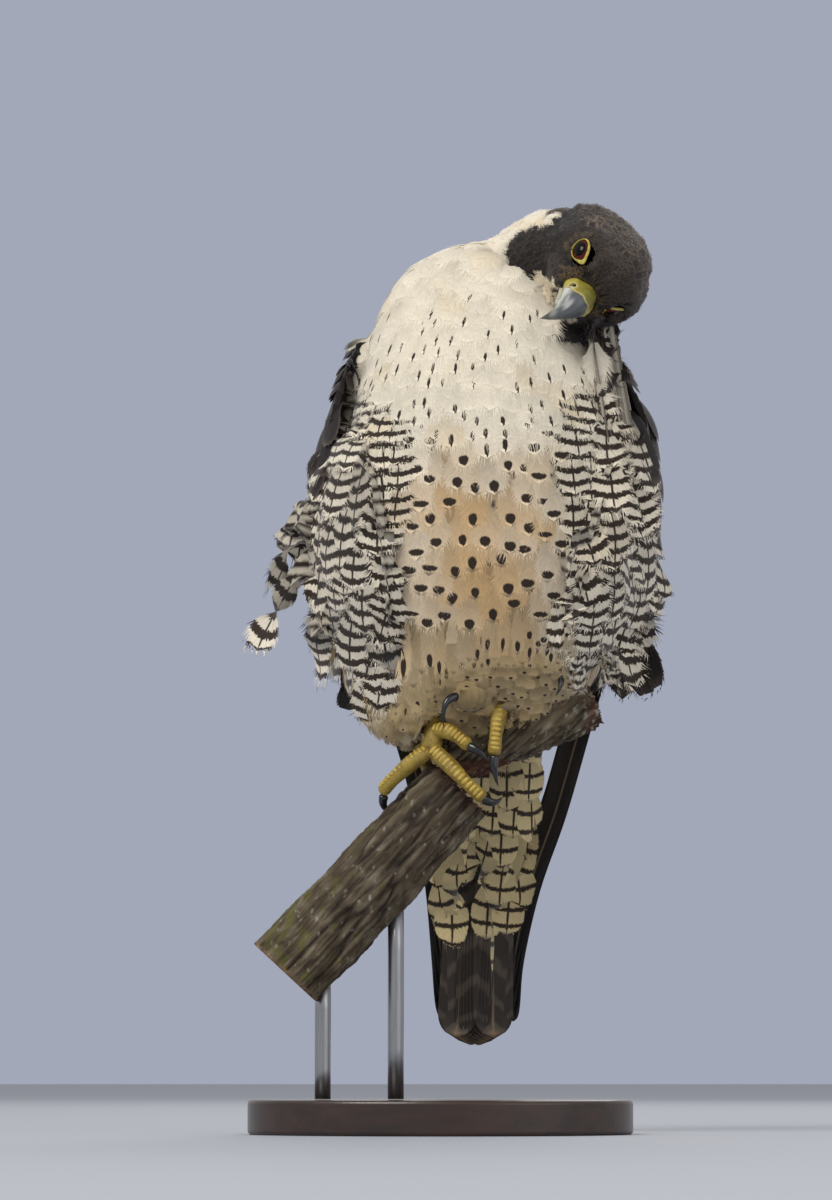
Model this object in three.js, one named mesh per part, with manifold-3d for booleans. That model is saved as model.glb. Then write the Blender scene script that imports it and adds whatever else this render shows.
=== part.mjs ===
// A life-size peregrine falcon on a cut length of dead branch, held up by a plain display stand.
// Units are millimetres and +Z is up. The falcon faces -Y, so its own left side is +X.
// The origin is the middle of the stand's underside.
import * as THREE from "three";
import { mergeVertices } from "three/addons/utils/BufferGeometryUtils.js";
import Module from "manifold-3d";

const wasm = await Module();
wasm.setup();

// Driving dimensions
const GAP = 0.3; // left between neighbours that touch
const SIMPLIFY = 0.14; // how far a surface may move when small facets are merged
const STAND_LENGTH = 190;
const STAND_DEPTH = 132;
const STAND_HEIGHT = 17;
const STAND_EDGE = 2;
const ROD_RADIUS = 4;
const ROD_GRIP = 4; // how far a rod reaches into the wood at its upper end
const EYE_RADIUS = 9;
const SOCKET_RADIUS = 7.6;
const CERE_FRONT = 28.6; // where the yellow cere ends and the horn begins, ahead of the head's centre
const CERE_SWELL = 0.7;
const CLAW_RADIUS = 2.7;
const TOE_RADIUS = 3.9;
const WING_THICKNESS = 8; // half of it
const FLANK_THICKNESS = 7; // half of it

// The head is turned on its side: the crown points to the falcon's left and the bill down over the breast.
const HEAD_CENTRE = new THREE.Vector3(76.7, -38, 423.3);
const HEAD_FORWARD = new THREE.Vector3(-0.26, -0.76, -0.6).normalize();
const HEAD_UP_HINT = new THREE.Vector3(0.86, -0.46, 0.21);

const X_AXIS = new THREE.Vector3(1, 0, 0);
const Y_AXIS = new THREE.Vector3(0, 1, 0);
const Z_AXIS = new THREE.Vector3(0, 0, 1);

// Colours, as seen in the photograph
const finish = (color, roughness = 0.8, metalness = 0) =>
  new THREE.MeshStandardMaterial({ color, roughness, metalness });
const WHITE_DOWN = finish("#e6dece");
const BARRED_BUFF = finish("#b9a88a");
const SLATE = finish("#3b3634");
const HORN = finish("#5f666d", 0.35);
const YELLOW_SKIN = finish("#d8b73c", 0.55);
const DARK_CLAW = finish("#2b2b2f", 0.35);
const DARK_EYE = finish("#140e0d", 0.1);
const DEAD_WOOD = finish("#6e5b4a", 0.95);
const STAINED_WOOD = finish("#3a2c24", 0.5);
const STEEL = finish("#8e9093", 0.35, 1);

// Shape tools

// A closed three.js geometry as a solid whose faces point outwards.
function solid(geometry) {
  for (const name of ["normal", "uv"]) geometry.deleteAttribute(name);
  const merged = mergeVertices(geometry, 1e-4);
  const vertProperties = merged.attributes.position.array;
  const triVerts = new Uint32Array(merged.index.array);
  const made = new wasm.Manifold(new wasm.Mesh({ numProp: 3, vertProperties, triVerts }));
  if (made.volume() > 0) return made;
  for (let i = 0; i < triVerts.length; i += 3) {
    [triVerts[i + 1], triVerts[i + 2]] = [triVerts[i + 2], triVerts[i + 1]];
  }
  return new wasm.Manifold(new wasm.Mesh({ numProp: 3, vertProperties, triVerts }));
}

function geometryOf(shape) {
  const { vertProperties, triVerts } = shape.getMesh();
  return new THREE.BufferGeometry()
    .setAttribute("position", new THREE.BufferAttribute(new Float32Array(vertProperties), 3))
    .setIndex(new THREE.BufferAttribute(new Uint32Array(triVerts), 1));
}

// Smooth lookup through rows of equal length, from 0 at the first row to 1 at the last.
function through(rows) {
  const width = rows[0].length;
  const curves = [];
  for (let i = 0; i < width; i += 3) {
    curves.push(
      new THREE.CatmullRomCurve3(rows.map((row) => new THREE.Vector3(...[0, 1, 2].map((k) => row[i + k] ?? 0)))),
    );
  }
  return (t) => curves.flatMap((curve) => curve.getPoint(t).toArray()).slice(0, width);
}

// Moves every vertex of a unit sphere, or of a unit cylinder where the ends are flat, to place(t, angle, share).
// t runs from 0 at one end to 1 at the other, and share is 0 only at the middle of a flat end.
function deformed({ around, along, flat = false }, place) {
  const geometry = flat
    ? new THREE.CylinderGeometry(1, 1, 1, around, along)
    : new THREE.SphereGeometry(1, around, along);
  const position = geometry.attributes.position;
  const at = new THREE.Vector3();
  for (let i = 0; i < position.count; i += 1) {
    at.fromBufferAttribute(position, i);
    const t = flat ? 0.5 - at.y : Math.acos(THREE.MathUtils.clamp(at.y, -1, 1)) / Math.PI;
    const share = flat ? Math.hypot(at.x, at.z) : 1;
    place(THREE.MathUtils.clamp(t, 0, 1), Math.atan2(at.x, at.z), share, at);
    position.setXYZ(i, at.x, at.y, at.z);
  }
  return solid(geometry);
}

// A rounded form along a line. Each station is [x, y, z, half-width, half-depth]. The half-width is
// measured along `across`, and `relief` multiplies the radius at a place on the surface.
function form(stations, { across = X_AXIS, around = 12, along = 10, flat = false, grow = 0, relief = () => 1 }) {
  const sizes = through(stations);
  const line = new THREE.CatmullRomCurve3(stations.map(([x, y, z]) => new THREE.Vector3(x, y, z)));
  return deformed({ around, along, flat }, (t, angle, share, at) => {
    const [x, y, z, width, depth] = sizes(t);
    const way = line.getTangent(t);
    const side = across.clone().addScaledVector(way, -across.dot(way)).normalize();
    const front = side.clone().cross(way);
    const pole = Math.max(width, depth) < 1e-3;
    const reach = (half) => (pole ? 0 : (half * relief(t, angle) + grow) * share);
    at.set(x, y, z)
      .addScaledVector(side, reach(width) * Math.cos(angle))
      .addScaledVector(front, reach(depth) * Math.sin(angle));
    if (t < 1e-6) at.addScaledVector(way, -grow);
    if (t > 1 - 1e-6) at.addScaledVector(way, grow);
  });
}

// A tapering limb of one radius at each end, with rounded ends, through a few points.
function limb(points, startRadius, endRadius, { across = Y_AXIS, around = 7, along = 7, grow = 0 }) {
  const last = points.length - 1;
  const stations = points.map((point, i) => {
    const radius = THREE.MathUtils.lerp(startRadius, endRadius, i / last);
    return [...point, radius, radius];
  });
  const cap = (from, to, radius) => {
    const way = new THREE.Vector3(...from).sub(new THREE.Vector3(...to)).normalize();
    const end = new THREE.Vector3(...from).addScaledVector(way, radius * 0.75);
    return [...end.toArray(), 0, 0];
  };
  const first = cap(points[0], points[1], startRadius);
  const final = cap(points[last], points[last - 1], endRadius);
  return form([first, ...stations, final], { across, around, along, grow });
}

// The trunk

const TRUNK = [
  [20, 22, 192, 0, 0],
  [20, 17, 199, 34, 27],
  [20, 12, 222, 56, 47],
  [21, 6, 260, 70, 60],
  [23, 2, 300, 76, 66],
  [24, -2, 340, 74, 66],
  [23, -3, 375, 66, 59],
  [18, -3, 408, 55, 49],
  [13, -4, 432, 38, 36],
  [11, -4, 441, 25, 24],
  [10, -4, 445, 0, 0],
];
const trunkSizes = through(TRUNK);

// The trunk's centre and half-sizes at a height.
function trunkAt(height) {
  let low = 0;
  let high = 1;
  while (high - low > 1e-4) {
    const middle = (low + high) / 2;
    if (trunkSizes(middle)[2] < height) low = middle;
    else high = middle;
  }
  const [x, y, , width, depth] = trunkSizes(low);
  return { x, y, width, depth };
}

const trunk = (grow) => form(TRUNK, { around: 20, along: 14, grow });

// A layer of feathers lying on the trunk. Each station is [height, middle angle, half-angle, lift]
// with angles in degrees round the trunk, 0 at the falcon's left and 90 at its back.
function layer(stations, halfThickness, { around = 14, along = 12, grow = 0, mirrored = false }) {
  const sizes = through(stations);
  return deformed({ around, along }, (t, angle, share, at) => {
    const [height, middle, halfAngle, lift] = sizes(t);
    const swell = Math.sin(Math.PI * t) ** 0.6;
    const { x, y, width, depth } = trunkAt(height);
    const reach = Math.max(width, depth);
    const degrees = middle + (halfAngle + THREE.MathUtils.radToDeg(grow / reach) * swell) * Math.cos(angle);
    const turn = THREE.MathUtils.degToRad(mirrored ? 180 - degrees : degrees);
    const out = lift + (halfThickness * swell + grow) * Math.sin(angle);
    const ends = t < 1e-6 ? grow : t > 1 - 1e-6 ? -grow : 0;
    at.set(x + (width + out) * Math.cos(turn), y + (depth + out) * Math.sin(turn), height + ends);
  });
}

// A pointed lock of long feathers from its root to its tip.
function lock(root, tip, halfWidth, halfThickness, { across = X_AXIS, grow = 0 }) {
  const at = (share) => root.map((value, i) => THREE.MathUtils.lerp(value, tip[i], share));
  const stations = [
    [...at(0), 0, 0],
    [...at(0.12), halfWidth * 0.75, halfThickness],
    [...at(0.5), halfWidth, halfThickness],
    [...at(0.85), halfWidth * 0.7, halfThickness * 0.6],
    [...at(1), 0, 0],
  ];
  return form(stations, { across, around: 6, along: 6, grow });
}

// The long barred flank feathers, loosened and hanging outside the folded wings
const FLANK_LAYER = [
  [350, -22, 0, 2],
  [342, -23, 16, 4],
  [315, -24, 27, 6],
  [285, -26, 32, 8],
  [258, -30, 30, 9],
  [240, -36, 20, 8],
  [230, -42, 0, 7],
];
const LEFT_LOCKS = [
  { root: [104, -4, 300], tip: [110, 2, 258], width: 10 },
  { root: [98, -12, 286], tip: [101, -2, 241], width: 11 },
  { root: [86, -24, 274], tip: [84, -12, 222], width: 12 },
  { root: [66, -40, 262], tip: [68, -26, 226], width: 11 },
];
const RIGHT_LOCKS = [
  { root: [-54, -14, 326], tip: [-80, -10, 293], width: 10 },
  { root: [-56, -14, 304], tip: [-79, -8, 261], width: 10 },
  { root: [-48, -22, 288], tip: [-64, -10, 238], width: 11 },
  { root: [-34, -36, 272], tip: [-46, -22, 232], width: 11 },
];
const LOCK_THICKNESS = 5;
const FLANK_SIDE = new THREE.Vector3(0.75, -0.66, 0);

function flank(locks, mirrored, grow) {
  const side = mirrored ? FLANK_SIDE.clone().setX(-FLANK_SIDE.x) : FLANK_SIDE;
  const across = Y_AXIS.clone().addScaledVector(side, 0.8);
  let joined = layer(FLANK_LAYER, FLANK_THICKNESS, { around: 10, along: 7, grow, mirrored });
  for (const { root, tip, width } of locks) {
    joined = joined.add(lock(root, tip, width, LOCK_THICKNESS, { across, grow }));
  }
  return joined;
}

// Folded wings: the coverts wrap the side and back of the trunk, and the primaries run down over the tail
const WING_LAYER = [
  [404, 10, 0, 0],
  [396, 13, 18, 2],
  [376, 20, 34, 6],
  [345, 29, 46, 9],
  [305, 38, 50, 9],
  [265, 46, 46, 8],
  [234, 58, 34, 7],
  [212, 68, 18, 5],
  [204, 72, 0, 4],
];
const LEFT_PRIMARIES = [
  [86, 30, 268, 0, 0],
  [84, 35, 256, 19, 4],
  [77, 45, 230, 19, 4],
  [68, 57, 198, 16, 3.4],
  [58, 70, 164, 12.5, 3],
  [45, 84, 127, 9.5, 2.6],
  [37, 97, 90, 6.5, 2],
  [36, 105, 66, 5, 1.4],
  [37, 108, 57, 0, 0],
];
const RIGHT_PRIMARIES = [
  [-40, 30, 268, 0, 0],
  [-36, 35, 256, 19, 4],
  [-27, 45, 230, 18, 4],
  [-15, 57, 198, 14, 3.4],
  [-6, 70, 164, 11, 3],
  [0, 84, 127, 9, 2.6],
  [3, 97, 90, 7, 2],
  [4, 105, 66, 5, 1.4],
  [6, 108, 56, 0, 0],
];
const PRIMARY_ACROSS = new THREE.Vector3(0.78, -0.62, 0).normalize();

const wing = (mirrored, grow) => layer(WING_LAYER, WING_THICKNESS, { around: 12, along: 9, grow, mirrored });

function primaries(stations, mirrored, grow) {
  const across = mirrored ? PRIMARY_ACROSS.clone().setX(-PRIMARY_ACROSS.x) : PRIMARY_ACROSS;
  return form(stations, { across, around: 8, along: 10, grow });
}

// Tail and the coverts under it

const TAIL = [
  [24, 58, 222, 0, 0],
  [24, 62, 210, 15, 5],
  [23, 72, 170, 18, 3.6],
  [21, 84, 120, 20, 2.6],
  [19, 94, 70, 20, 1.8],
  [18.5, 97, 53, 15, 1.4],
  [18.5, 98, 43.5, 0, 0],
];
const COVERT_LOBES = [
  [
    [34, 38, 232, 0, 0],
    [34, 44, 218, 20, 14],
    [35, 54, 190, 18, 10],
    [34, 62, 158, 16, 6],
    [31, 71, 125, 12, 3.4],
    [27, 77, 102.5, 0, 0],
  ],
  [
    [12, 38, 232, 0, 0],
    [11, 44, 218, 20, 14],
    [8, 54, 190, 16, 10],
    [6, 62, 158, 13, 6],
    [4, 71, 125, 10, 3.4],
    [3, 77, 103, 0, 0],
  ],
];

const tail = (grow) => form(TAIL, { around: 10, along: 9, grow });

const undertail = (grow) =>
  COVERT_LOBES.map((lobe) => form(lobe, { around: 8, along: 7, grow })).reduce((a, b) => a.add(b));

// Neck, bent over to the falcon's left

const NECK = [
  [86, -34, 438, 0, 0],
  [73, -27, 436, 24, 24],
  [56, -16, 433, 29, 28],
  [41, -8, 424, 31, 28],
  [28, -4, 408, 34, 32],
  [22, -2, 384, 32, 32],
  [20, 0, 366, 0, 0],
];
const neck = (grow) => form(NECK, { across: Y_AXIS, around: 14, along: 9, grow });

// Head, in its own frame: x forward, y to its left, z to its crown

const headMatrix = new THREE.Matrix4();
{
  const left = HEAD_UP_HINT.clone().cross(HEAD_FORWARD).normalize();
  const up = HEAD_FORWARD.clone().cross(left);
  headMatrix.makeBasis(HEAD_FORWARD, left, up).setPosition(HEAD_CENTRE);
}

const HEAD = [
  [-37, 0, -3, 0, 0],
  [-33, 0, -3, 19, 16],
  [-22, 0, -2.5, 30.5, 23],
  [-9, 0, -1.5, 28, 26],
  [3, 0, -0.5, 25, 26.5],
  [12, 0, -2.5, 21, 22.5],
  [19, 0, -4.5, 15.5, 16.5],
  [24, 0, -5.5, 9.5, 11],
  [26.5, 0, -6, 0, 0],
];
const UPPER_BILL = [
  [18.5, 0, -2.6, 0, 0],
  [19.5, 0, -2.6, 8.2, 6.8],
  [26.5, 0, -2.9, 8, 7.4],
  [31.5, 0, -4.3, 6.8, 6.9],
  [35.2, 0, -7.4, 5, 5.7],
  [36.9, 0, -11.3, 3.2, 4],
  [36.8, 0, -16.2, 1.6, 2.1],
  [35.2, 0, -22, 0, 0],
];
const LOWER_BILL = [
  [18, 0, -11.5, 0, 0],
  [19.5, 0, -11.6, 6.8, 3],
  [26, 0, -12.3, 5.9, 3],
  [31, 0, -13.4, 4, 2.2],
  [33.8, 0, -14.2, 0, 0],
];
const EYE_CENTRE = [11, 11.3, 4.4];
const EYE_LOOK = new THREE.Vector3(0.35, 0.93, 0.07).normalize();
const CHEEK_AT = 0.54; // share of the head's length from its back
const CHEEK_ANGLE = 0.44; // radians below the level of the eyes
const CHEEK_SWELL = 0.28;
const SOCKET_DEPTH = 14.5; // from the middle of the eye to the middle of the hollow in front of it

const headSide = (mirrored) => (mirrored ? -1 : 1);

function ball(radius, centre, around) {
  return solid(new THREE.SphereGeometry(radius, around, around / 2).translate(...centre));
}

function eye(mirrored, grow) {
  const [x, y, z] = EYE_CENTRE;
  return ball(EYE_RADIUS + grow, [x, y * headSide(mirrored), z], 14);
}

function socket(mirrored) {
  const look = EYE_LOOK.clone().setY(EYE_LOOK.y * headSide(mirrored));
  const [x, y, z] = EYE_CENTRE;
  const middle = new THREE.Vector3(x, y * headSide(mirrored), z).addScaledVector(look, SOCKET_DEPTH);
  return ball(SOCKET_RADIUS, middle.toArray(), 12);
}

// The crown is narrow and the brows stand out at its sides, the face narrows under them, and the feathers of the cheeks and moustaches stand out below the eye.
function headRelief(t, angle) {
  const side = Math.abs(Math.cos(angle));
  const low = Math.sin(angle);
  const face = THREE.MathUtils.smoothstep(t, 0.45, 0.8);
  const cheek = Math.exp(-(((t - CHEEK_AT) / 0.13) ** 2) - ((Math.atan2(low, side) - CHEEK_ANGLE) / 0.42) ** 2);
  const fromTop = Math.atan2(side, -low);
  const middle = Math.exp(-(((t - 0.46) / 0.17) ** 2));
  const crown = -0.12 * Math.exp(-(((fromTop - 0.62) / 0.36) ** 2)) + 0.11 * Math.exp(-(((fromTop - 1.2) / 0.26) ** 2));
  return 1 - 0.03 * face * side * (1 - Math.max(0, low)) + CHEEK_SWELL * cheek + middle * crown;
}

const head = (grow) => form(HEAD, { across: Y_AXIS, around: 18, along: 12, grow, relief: headRelief });

const upperBillForm = (grow) => form(UPPER_BILL, { across: Y_AXIS, around: 10, along: 11, grow });

const ahead = new THREE.Vector3(1, 0, 0);
const cere = (grow) =>
  upperBillForm(CERE_SWELL + grow).trimByPlane(ahead.clone().negate().toArray(), -CERE_FRONT - grow);
const upperBill = (grow) => upperBillForm(grow).trimByPlane(ahead.toArray(), CERE_FRONT);
const lowerBill = (grow) => form(LOWER_BILL, { across: Y_AXIS, around: 8, along: 6, grow });

// Legs: feathered thighs, bare tarsi, and four toes on each foot

const THIGHS = {
  right: [
    [-20, 2, 288, 0, 0],
    [-22, -2, 268, 26, 24],
    [-24, -6, 238, 28, 26],
    [-19, -10, 212, 24, 22],
    [-12, -13, 196, 14, 13],
    [-8, -15, 186, 0, 0],
  ],
  left: [
    [64, 2, 288, 0, 0],
    [62, -2, 270, 24, 24],
    [58, -6, 246, 26, 26],
    [48, -9, 228, 24, 22],
    [38, -11, 219, 12, 12],
    [33, -12, 214, 0, 0],
  ],
};
const TARSI = {
  right: [
    [-5, -7, 213],
    [-3.5, -12, 201],
    [-4.5, -14, 190],
  ],
  left: [
    [38, -4, 230],
    [34, -8, 222],
    [31, -10, 213.5],
  ],
};
// Each toe is its line of points, then the line of its claw.
const TOES = {
  right_outer: {
    toe: [[-6, -14, 188], [-14, -13, 182.5], [-22, -10, 175.5], [-28, -6, 169.5]],
    claw: [[-28, -4.5, 166.5], [-27.5, -1, 161], [-22, 2, 158.5]],
  },
  right_middle: {
    toe: [[-3, -16, 188], [4, -21.5, 181], [12, -24.5, 172.5], [20, -24, 165]],
    claw: [[21.5, -24.3, 163.4], [27, -23, 162.2], [30.5, -17, 165.5]],
  },
  right_inner: {
    toe: [[-2, -15, 198], [3.5, -20, 197.5], [8.5, -24, 194.5], [13, -27, 190.5]],
    claw: [[14.5, -28.2, 189], [19.5, -30.5, 186], [23.5, -30, 181.5]],
  },
  right_hind: {
    toe: [[-6, -9, 188], [-9, 0, 189], [-8, 9, 186], [-5, 17, 179]],
    claw: [[-4.2, 19, 177], [-1, 23.5, 171], [3, 24, 164]],
  },
  left_outer: {
    toe: [[34, -8, 216], [42, -9, 222], [50, -13, 226.5], [56, -17, 228]],
    claw: [[57.5, -19, 227], [59.5, -24, 221.5], [56.5, -26, 214]],
  },
  left_middle: {
    toe: [[30, -14, 213], [29, -21, 206], [27.5, -25.5, 196.5], [26.5, -27, 187]],
    claw: [[26.3, -27.4, 184], [26.5, -28.5, 177], [28.5, -26.5, 169.5]],
  },
  left_inner: {
    toe: [[28, -13, 215], [22, -19, 216], [16, -25, 215.5], [11.5, -29, 214]],
    claw: [[9.5, -30.5, 213.5], [2.5, -35, 209.5], [1.8, -34.5, 197]],
  },
  left_hind: {
    toe: [[32, -6, 214], [34, 3, 215], [37, 11, 211], [39, 16.5, 203]],
    claw: [[39.5, 18, 201], [40, 20.5, 195], [42, 19, 188]],
  },
};
const THIGH_SHAPE = { around: 11, along: 7 };
const TARSUS_RADIUS = 4.4;
const TOE_TIP_SHARE = 0.84;

const thigh = (side, grow) => form(THIGHS[side], { ...THIGH_SHAPE, grow });
const tarsus = (side, grow) =>
  limb(TARSI[side], TARSUS_RADIUS, TARSUS_RADIUS, { across: X_AXIS, around: 8, along: 6, grow });
const toe = (name, grow) => limb(TOES[name].toe, TOE_RADIUS, TOE_RADIUS * TOE_TIP_SHARE, { grow });

// A claw is thick where it leaves the toe and comes to a point.
function claw(name, grow) {
  const [start, bend, tip] = TOES[name].claw;
  const between = (a, b) => a.map((value, i) => (value + b[i]) / 2);
  const stations = [
    [...start, 0, 0],
    [...between(start, between(start, bend)), CLAW_RADIUS * 0.95, CLAW_RADIUS * 0.95],
    [...bend, CLAW_RADIUS * 0.72, CLAW_RADIUS * 0.8],
    [...between(bend, tip), CLAW_RADIUS * 0.42, CLAW_RADIUS * 0.48],
    [...tip, 0, 0],
  ];
  return form(stations, { across: new THREE.Vector3(0.3, 1, 0.2), around: 6, along: 6, grow });
}

// Perch: a sawn length of dead branch, broken off past the feet to a thinner stub

const BRANCH = [
  [-76, 0, 78.5, 21.5, 21.5],
  [-52, 0, 104.5, 21, 21],
  [-26, 0, 133, 20.5, 20.5],
  [-6, 0, 155, 20.5, 20],
  [9, 0, 171, 19.5, 19],
];
const STUB = [
  [0, 0, 182, 12.5, 12.5],
  [16, 0, 188.5, 13, 13],
  [34, 0, 196, 12.5, 12.5],
  [54, 0, 203.5, 12.5, 12.5],
  [72, 0, 210.5, 12, 12],
  [78, 0, 213, 10.5, 10.5],
];

// Long ridges that twist slowly round the wood.
const barkRelief = (t, angle) =>
  1 + 0.035 * Math.sin(3 * angle + 5 * t) + 0.025 * Math.sin(7 * angle - 9 * t) + 0.02 * Math.sin(23 * t + 2 * angle);

const perch = (grow) =>
  form(BRANCH, { across: Y_AXIS, around: 15, along: 7, flat: true, grow, relief: barkRelief }).add(
    form(STUB, { across: Y_AXIS, around: 11, along: 4, flat: true, grow, relief: barkRelief }),
  );

// Stand: an oval plate and two upright rods

const RODS = [
  { x: -58, top: 98 },
  { x: -22, top: 137 },
];
const PERCH_BELOW = 26; // from the branch's middle line straight down to its underside

function standBase() {
  const outline = new THREE.Shape();
  outline.absellipse(0, 0, STAND_LENGTH / 2 - STAND_EDGE, STAND_DEPTH / 2 - STAND_EDGE, 0, 2 * Math.PI);
  const plate = new THREE.ExtrudeGeometry(outline, {
    depth: STAND_HEIGHT - 2 * STAND_EDGE,
    bevelThickness: STAND_EDGE,
    bevelSize: STAND_EDGE,
    bevelSegments: 1,
    curveSegments: 16,
  });
  return solid(plate.translate(0, 0, STAND_EDGE));
}

function standRod({ x, top }) {
  const bottom = STAND_HEIGHT + GAP;
  const height = top - PERCH_BELOW + ROD_GRIP - bottom;
  const rod = new THREE.CylinderGeometry(ROD_RADIUS, ROD_RADIUS, height, 16);
  return solid(rod.rotateX(Math.PI / 2).translate(x, 0, bottom + height / 2));
}

// The parts in the order in which they keep their full shape: each is cut back from those before it.

const turned = (shape) => shape.transform(headMatrix.elements);
const sides = ["right", "left"];
const toeNames = Object.keys(TOES);

const parts = [
  ...sides.map((side) => ({
    name: `eye_${side}`,
    material: DARK_EYE,
    make: (grow) => turned(eye(side === "right", grow)),
  })),
  { name: "cere", material: YELLOW_SKIN, make: (grow) => turned(cere(grow)) },
  { name: "bill_upper", material: HORN, make: (grow) => turned(upperBill(grow)) },
  { name: "bill_lower", material: HORN, make: (grow) => turned(lowerBill(grow)) },
  {
    name: "head",
    material: SLATE,
    make: (grow) => turned(grow ? head(grow) : head(0).subtract(socket(true)).subtract(socket(false))),
  },
  ...toeNames.map((name) => ({ name: `claw_${name}`, material: DARK_CLAW, make: (grow) => claw(name, grow) })),
  ...toeNames.map((name) => ({ name: `toe_${name}`, material: YELLOW_SKIN, make: (grow) => toe(name, grow) })),
  ...sides.map((side) => ({ name: `tarsus_${side}`, material: YELLOW_SKIN, make: (grow) => tarsus(side, grow) })),
  { name: "trunk", material: WHITE_DOWN, make: trunk },
  { name: "neck", material: WHITE_DOWN, make: neck },
  { name: "tail", material: SLATE, make: tail },
  { name: "primaries_right", material: SLATE, make: (grow) => primaries(RIGHT_PRIMARIES, true, grow) },
  { name: "primaries_left", material: SLATE, make: (grow) => primaries(LEFT_PRIMARIES, false, grow) },
  { name: "undertail_coverts", material: BARRED_BUFF, make: undertail },
  { name: "flank_right", material: BARRED_BUFF, make: (grow) => flank(RIGHT_LOCKS, true, grow) },
  { name: "flank_left", material: BARRED_BUFF, make: (grow) => flank(LEFT_LOCKS, false, grow) },
  { name: "wing_right", material: SLATE, make: (grow) => wing(true, grow) },
  { name: "wing_left", material: SLATE, make: (grow) => wing(false, grow) },
  ...sides.map((side) => ({ name: `thigh_${side}`, material: BARRED_BUFF, make: (grow) => thigh(side, grow) })),
  ...RODS.map((rod, i) => ({ name: `stand_rod_${i + 1}`, material: STEEL, make: () => standRod(rod) })),
  { name: "perch", material: DEAD_WOOD, make: perch },
  { name: "stand_base", material: STAINED_WOOD, make: standBase },
];

const touching = (a, b) =>
  [0, 1, 2].every((i) => a.min[i] < b.max[i] && b.min[i] < a.max[i]);

// The biggest piece, where a cut has left loose slivers.
function largest(shape) {
  return shape.decompose().reduce((best, piece) => (piece.volume() > best.volume() ? piece : best));
}

const falcon = new THREE.Group();
const cutters = [];
for (const { name, material, make } of parts) {
  let shape = make(0);
  for (const cutter of cutters) {
    if (touching(cutter.boundingBox(), shape.boundingBox())) shape = shape.subtract(cutter);
  }
  const mesh = new THREE.Mesh(geometryOf(largest(shape).simplify(SIMPLIFY)), material);
  mesh.name = name;
  falcon.add(mesh);
  cutters.push(name.startsWith("stand_rod") ? standRodRoom(name) : make(GAP).add(make(0)).simplify(SIMPLIFY));
}

// The hole in the perch for a rod, with room round the rod.
function standRodRoom(name) {
  const { x, top } = RODS[Number(name.at(-1)) - 1];
  const radius = ROD_RADIUS + GAP;
  const height = top - PERCH_BELOW + ROD_GRIP + GAP;
  const room = new THREE.CylinderGeometry(radius, radius, height, 16);
  return solid(room.rotateX(Math.PI / 2).translate(x, 0, height / 2 + STAND_HEIGHT));
}

export default falcon;
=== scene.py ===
"""A still, life-size peregrine falcon with solid feathers, on a cut branch held by a plain display stand.

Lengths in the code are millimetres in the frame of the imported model, and become metres when a mesh is made.
"""

from __future__ import annotations

import logging
import math
from dataclasses import dataclass, field
from typing import Callable

import bmesh
import bpy
import numpy as np
from bpy.types import ID, Material, Mesh, Node, NodeSocket, NodeTree, Object
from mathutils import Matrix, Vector
from mathutils.bvhtree import BVHTree

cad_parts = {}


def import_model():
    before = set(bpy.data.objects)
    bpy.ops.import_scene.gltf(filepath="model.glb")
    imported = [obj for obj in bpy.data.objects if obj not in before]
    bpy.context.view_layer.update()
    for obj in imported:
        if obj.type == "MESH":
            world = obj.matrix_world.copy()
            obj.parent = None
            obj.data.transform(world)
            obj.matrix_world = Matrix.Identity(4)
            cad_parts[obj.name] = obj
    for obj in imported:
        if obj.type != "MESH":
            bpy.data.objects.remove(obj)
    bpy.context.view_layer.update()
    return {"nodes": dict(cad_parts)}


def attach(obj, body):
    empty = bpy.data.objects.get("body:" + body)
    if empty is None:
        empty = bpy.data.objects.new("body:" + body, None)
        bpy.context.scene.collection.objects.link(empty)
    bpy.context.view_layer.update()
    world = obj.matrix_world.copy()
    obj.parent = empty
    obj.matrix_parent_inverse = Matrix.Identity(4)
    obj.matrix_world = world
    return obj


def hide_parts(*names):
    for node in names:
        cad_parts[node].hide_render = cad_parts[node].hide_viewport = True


LOG = logging.getLogger("falcon")
MM = 0.001
SEED = 11
TIP_SHARE = 0.85  # the part of a feather that shows, and where its bars are lined up with the next ones
POLE = 0.0005  # how near its pole the first ring of the eyeball lies, in radians
END_SHARE = 0.35  # how strongly the rings of a rounded form crowd towards its ends
BAKE_PATCH = 0.003  # how much of the skin's unwrap one feather takes
BAR_HEX = "#33281f"  # the dark bars and spots, on the feathers and on the skin between them
SKIN_PITCH = 6.4  # millimetres from one dark bar to the next, where nothing else is said
FLANK_PITCH = 7.4  # millimetres from one dark bar of the flanks to the next
PHASE_SPREAD = 0.07  # how far a feather's bars are out of step with its neighbours', as a share of the pitch
Rows = list[tuple[float, ...]]
Array = np.ndarray

HEAD_CENTRE = np.array([76.7, -38.0, 423.3])
HEAD_FORWARD = np.array([-0.26, -0.76, -0.6])
HEAD_UP_HINT = np.array([0.86, -0.46, 0.21])
X_AXIS, Y_AXIS, Z_AXIS = np.eye(3)


# Small tools for numbers


def unit(vectors: Array) -> Array:
    """Returns the vectors with a length of one."""
    return vectors / np.maximum(np.linalg.norm(vectors, axis=-1, keepdims=True), 1e-9)


def ramp(values: Array, low: float, high: float) -> Array:
    """Returns a smooth step from 0 at low to 1 at high."""
    share = np.clip((values - low) / (high - low), 0, 1)
    return share * share * (3 - 2 * share)


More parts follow.
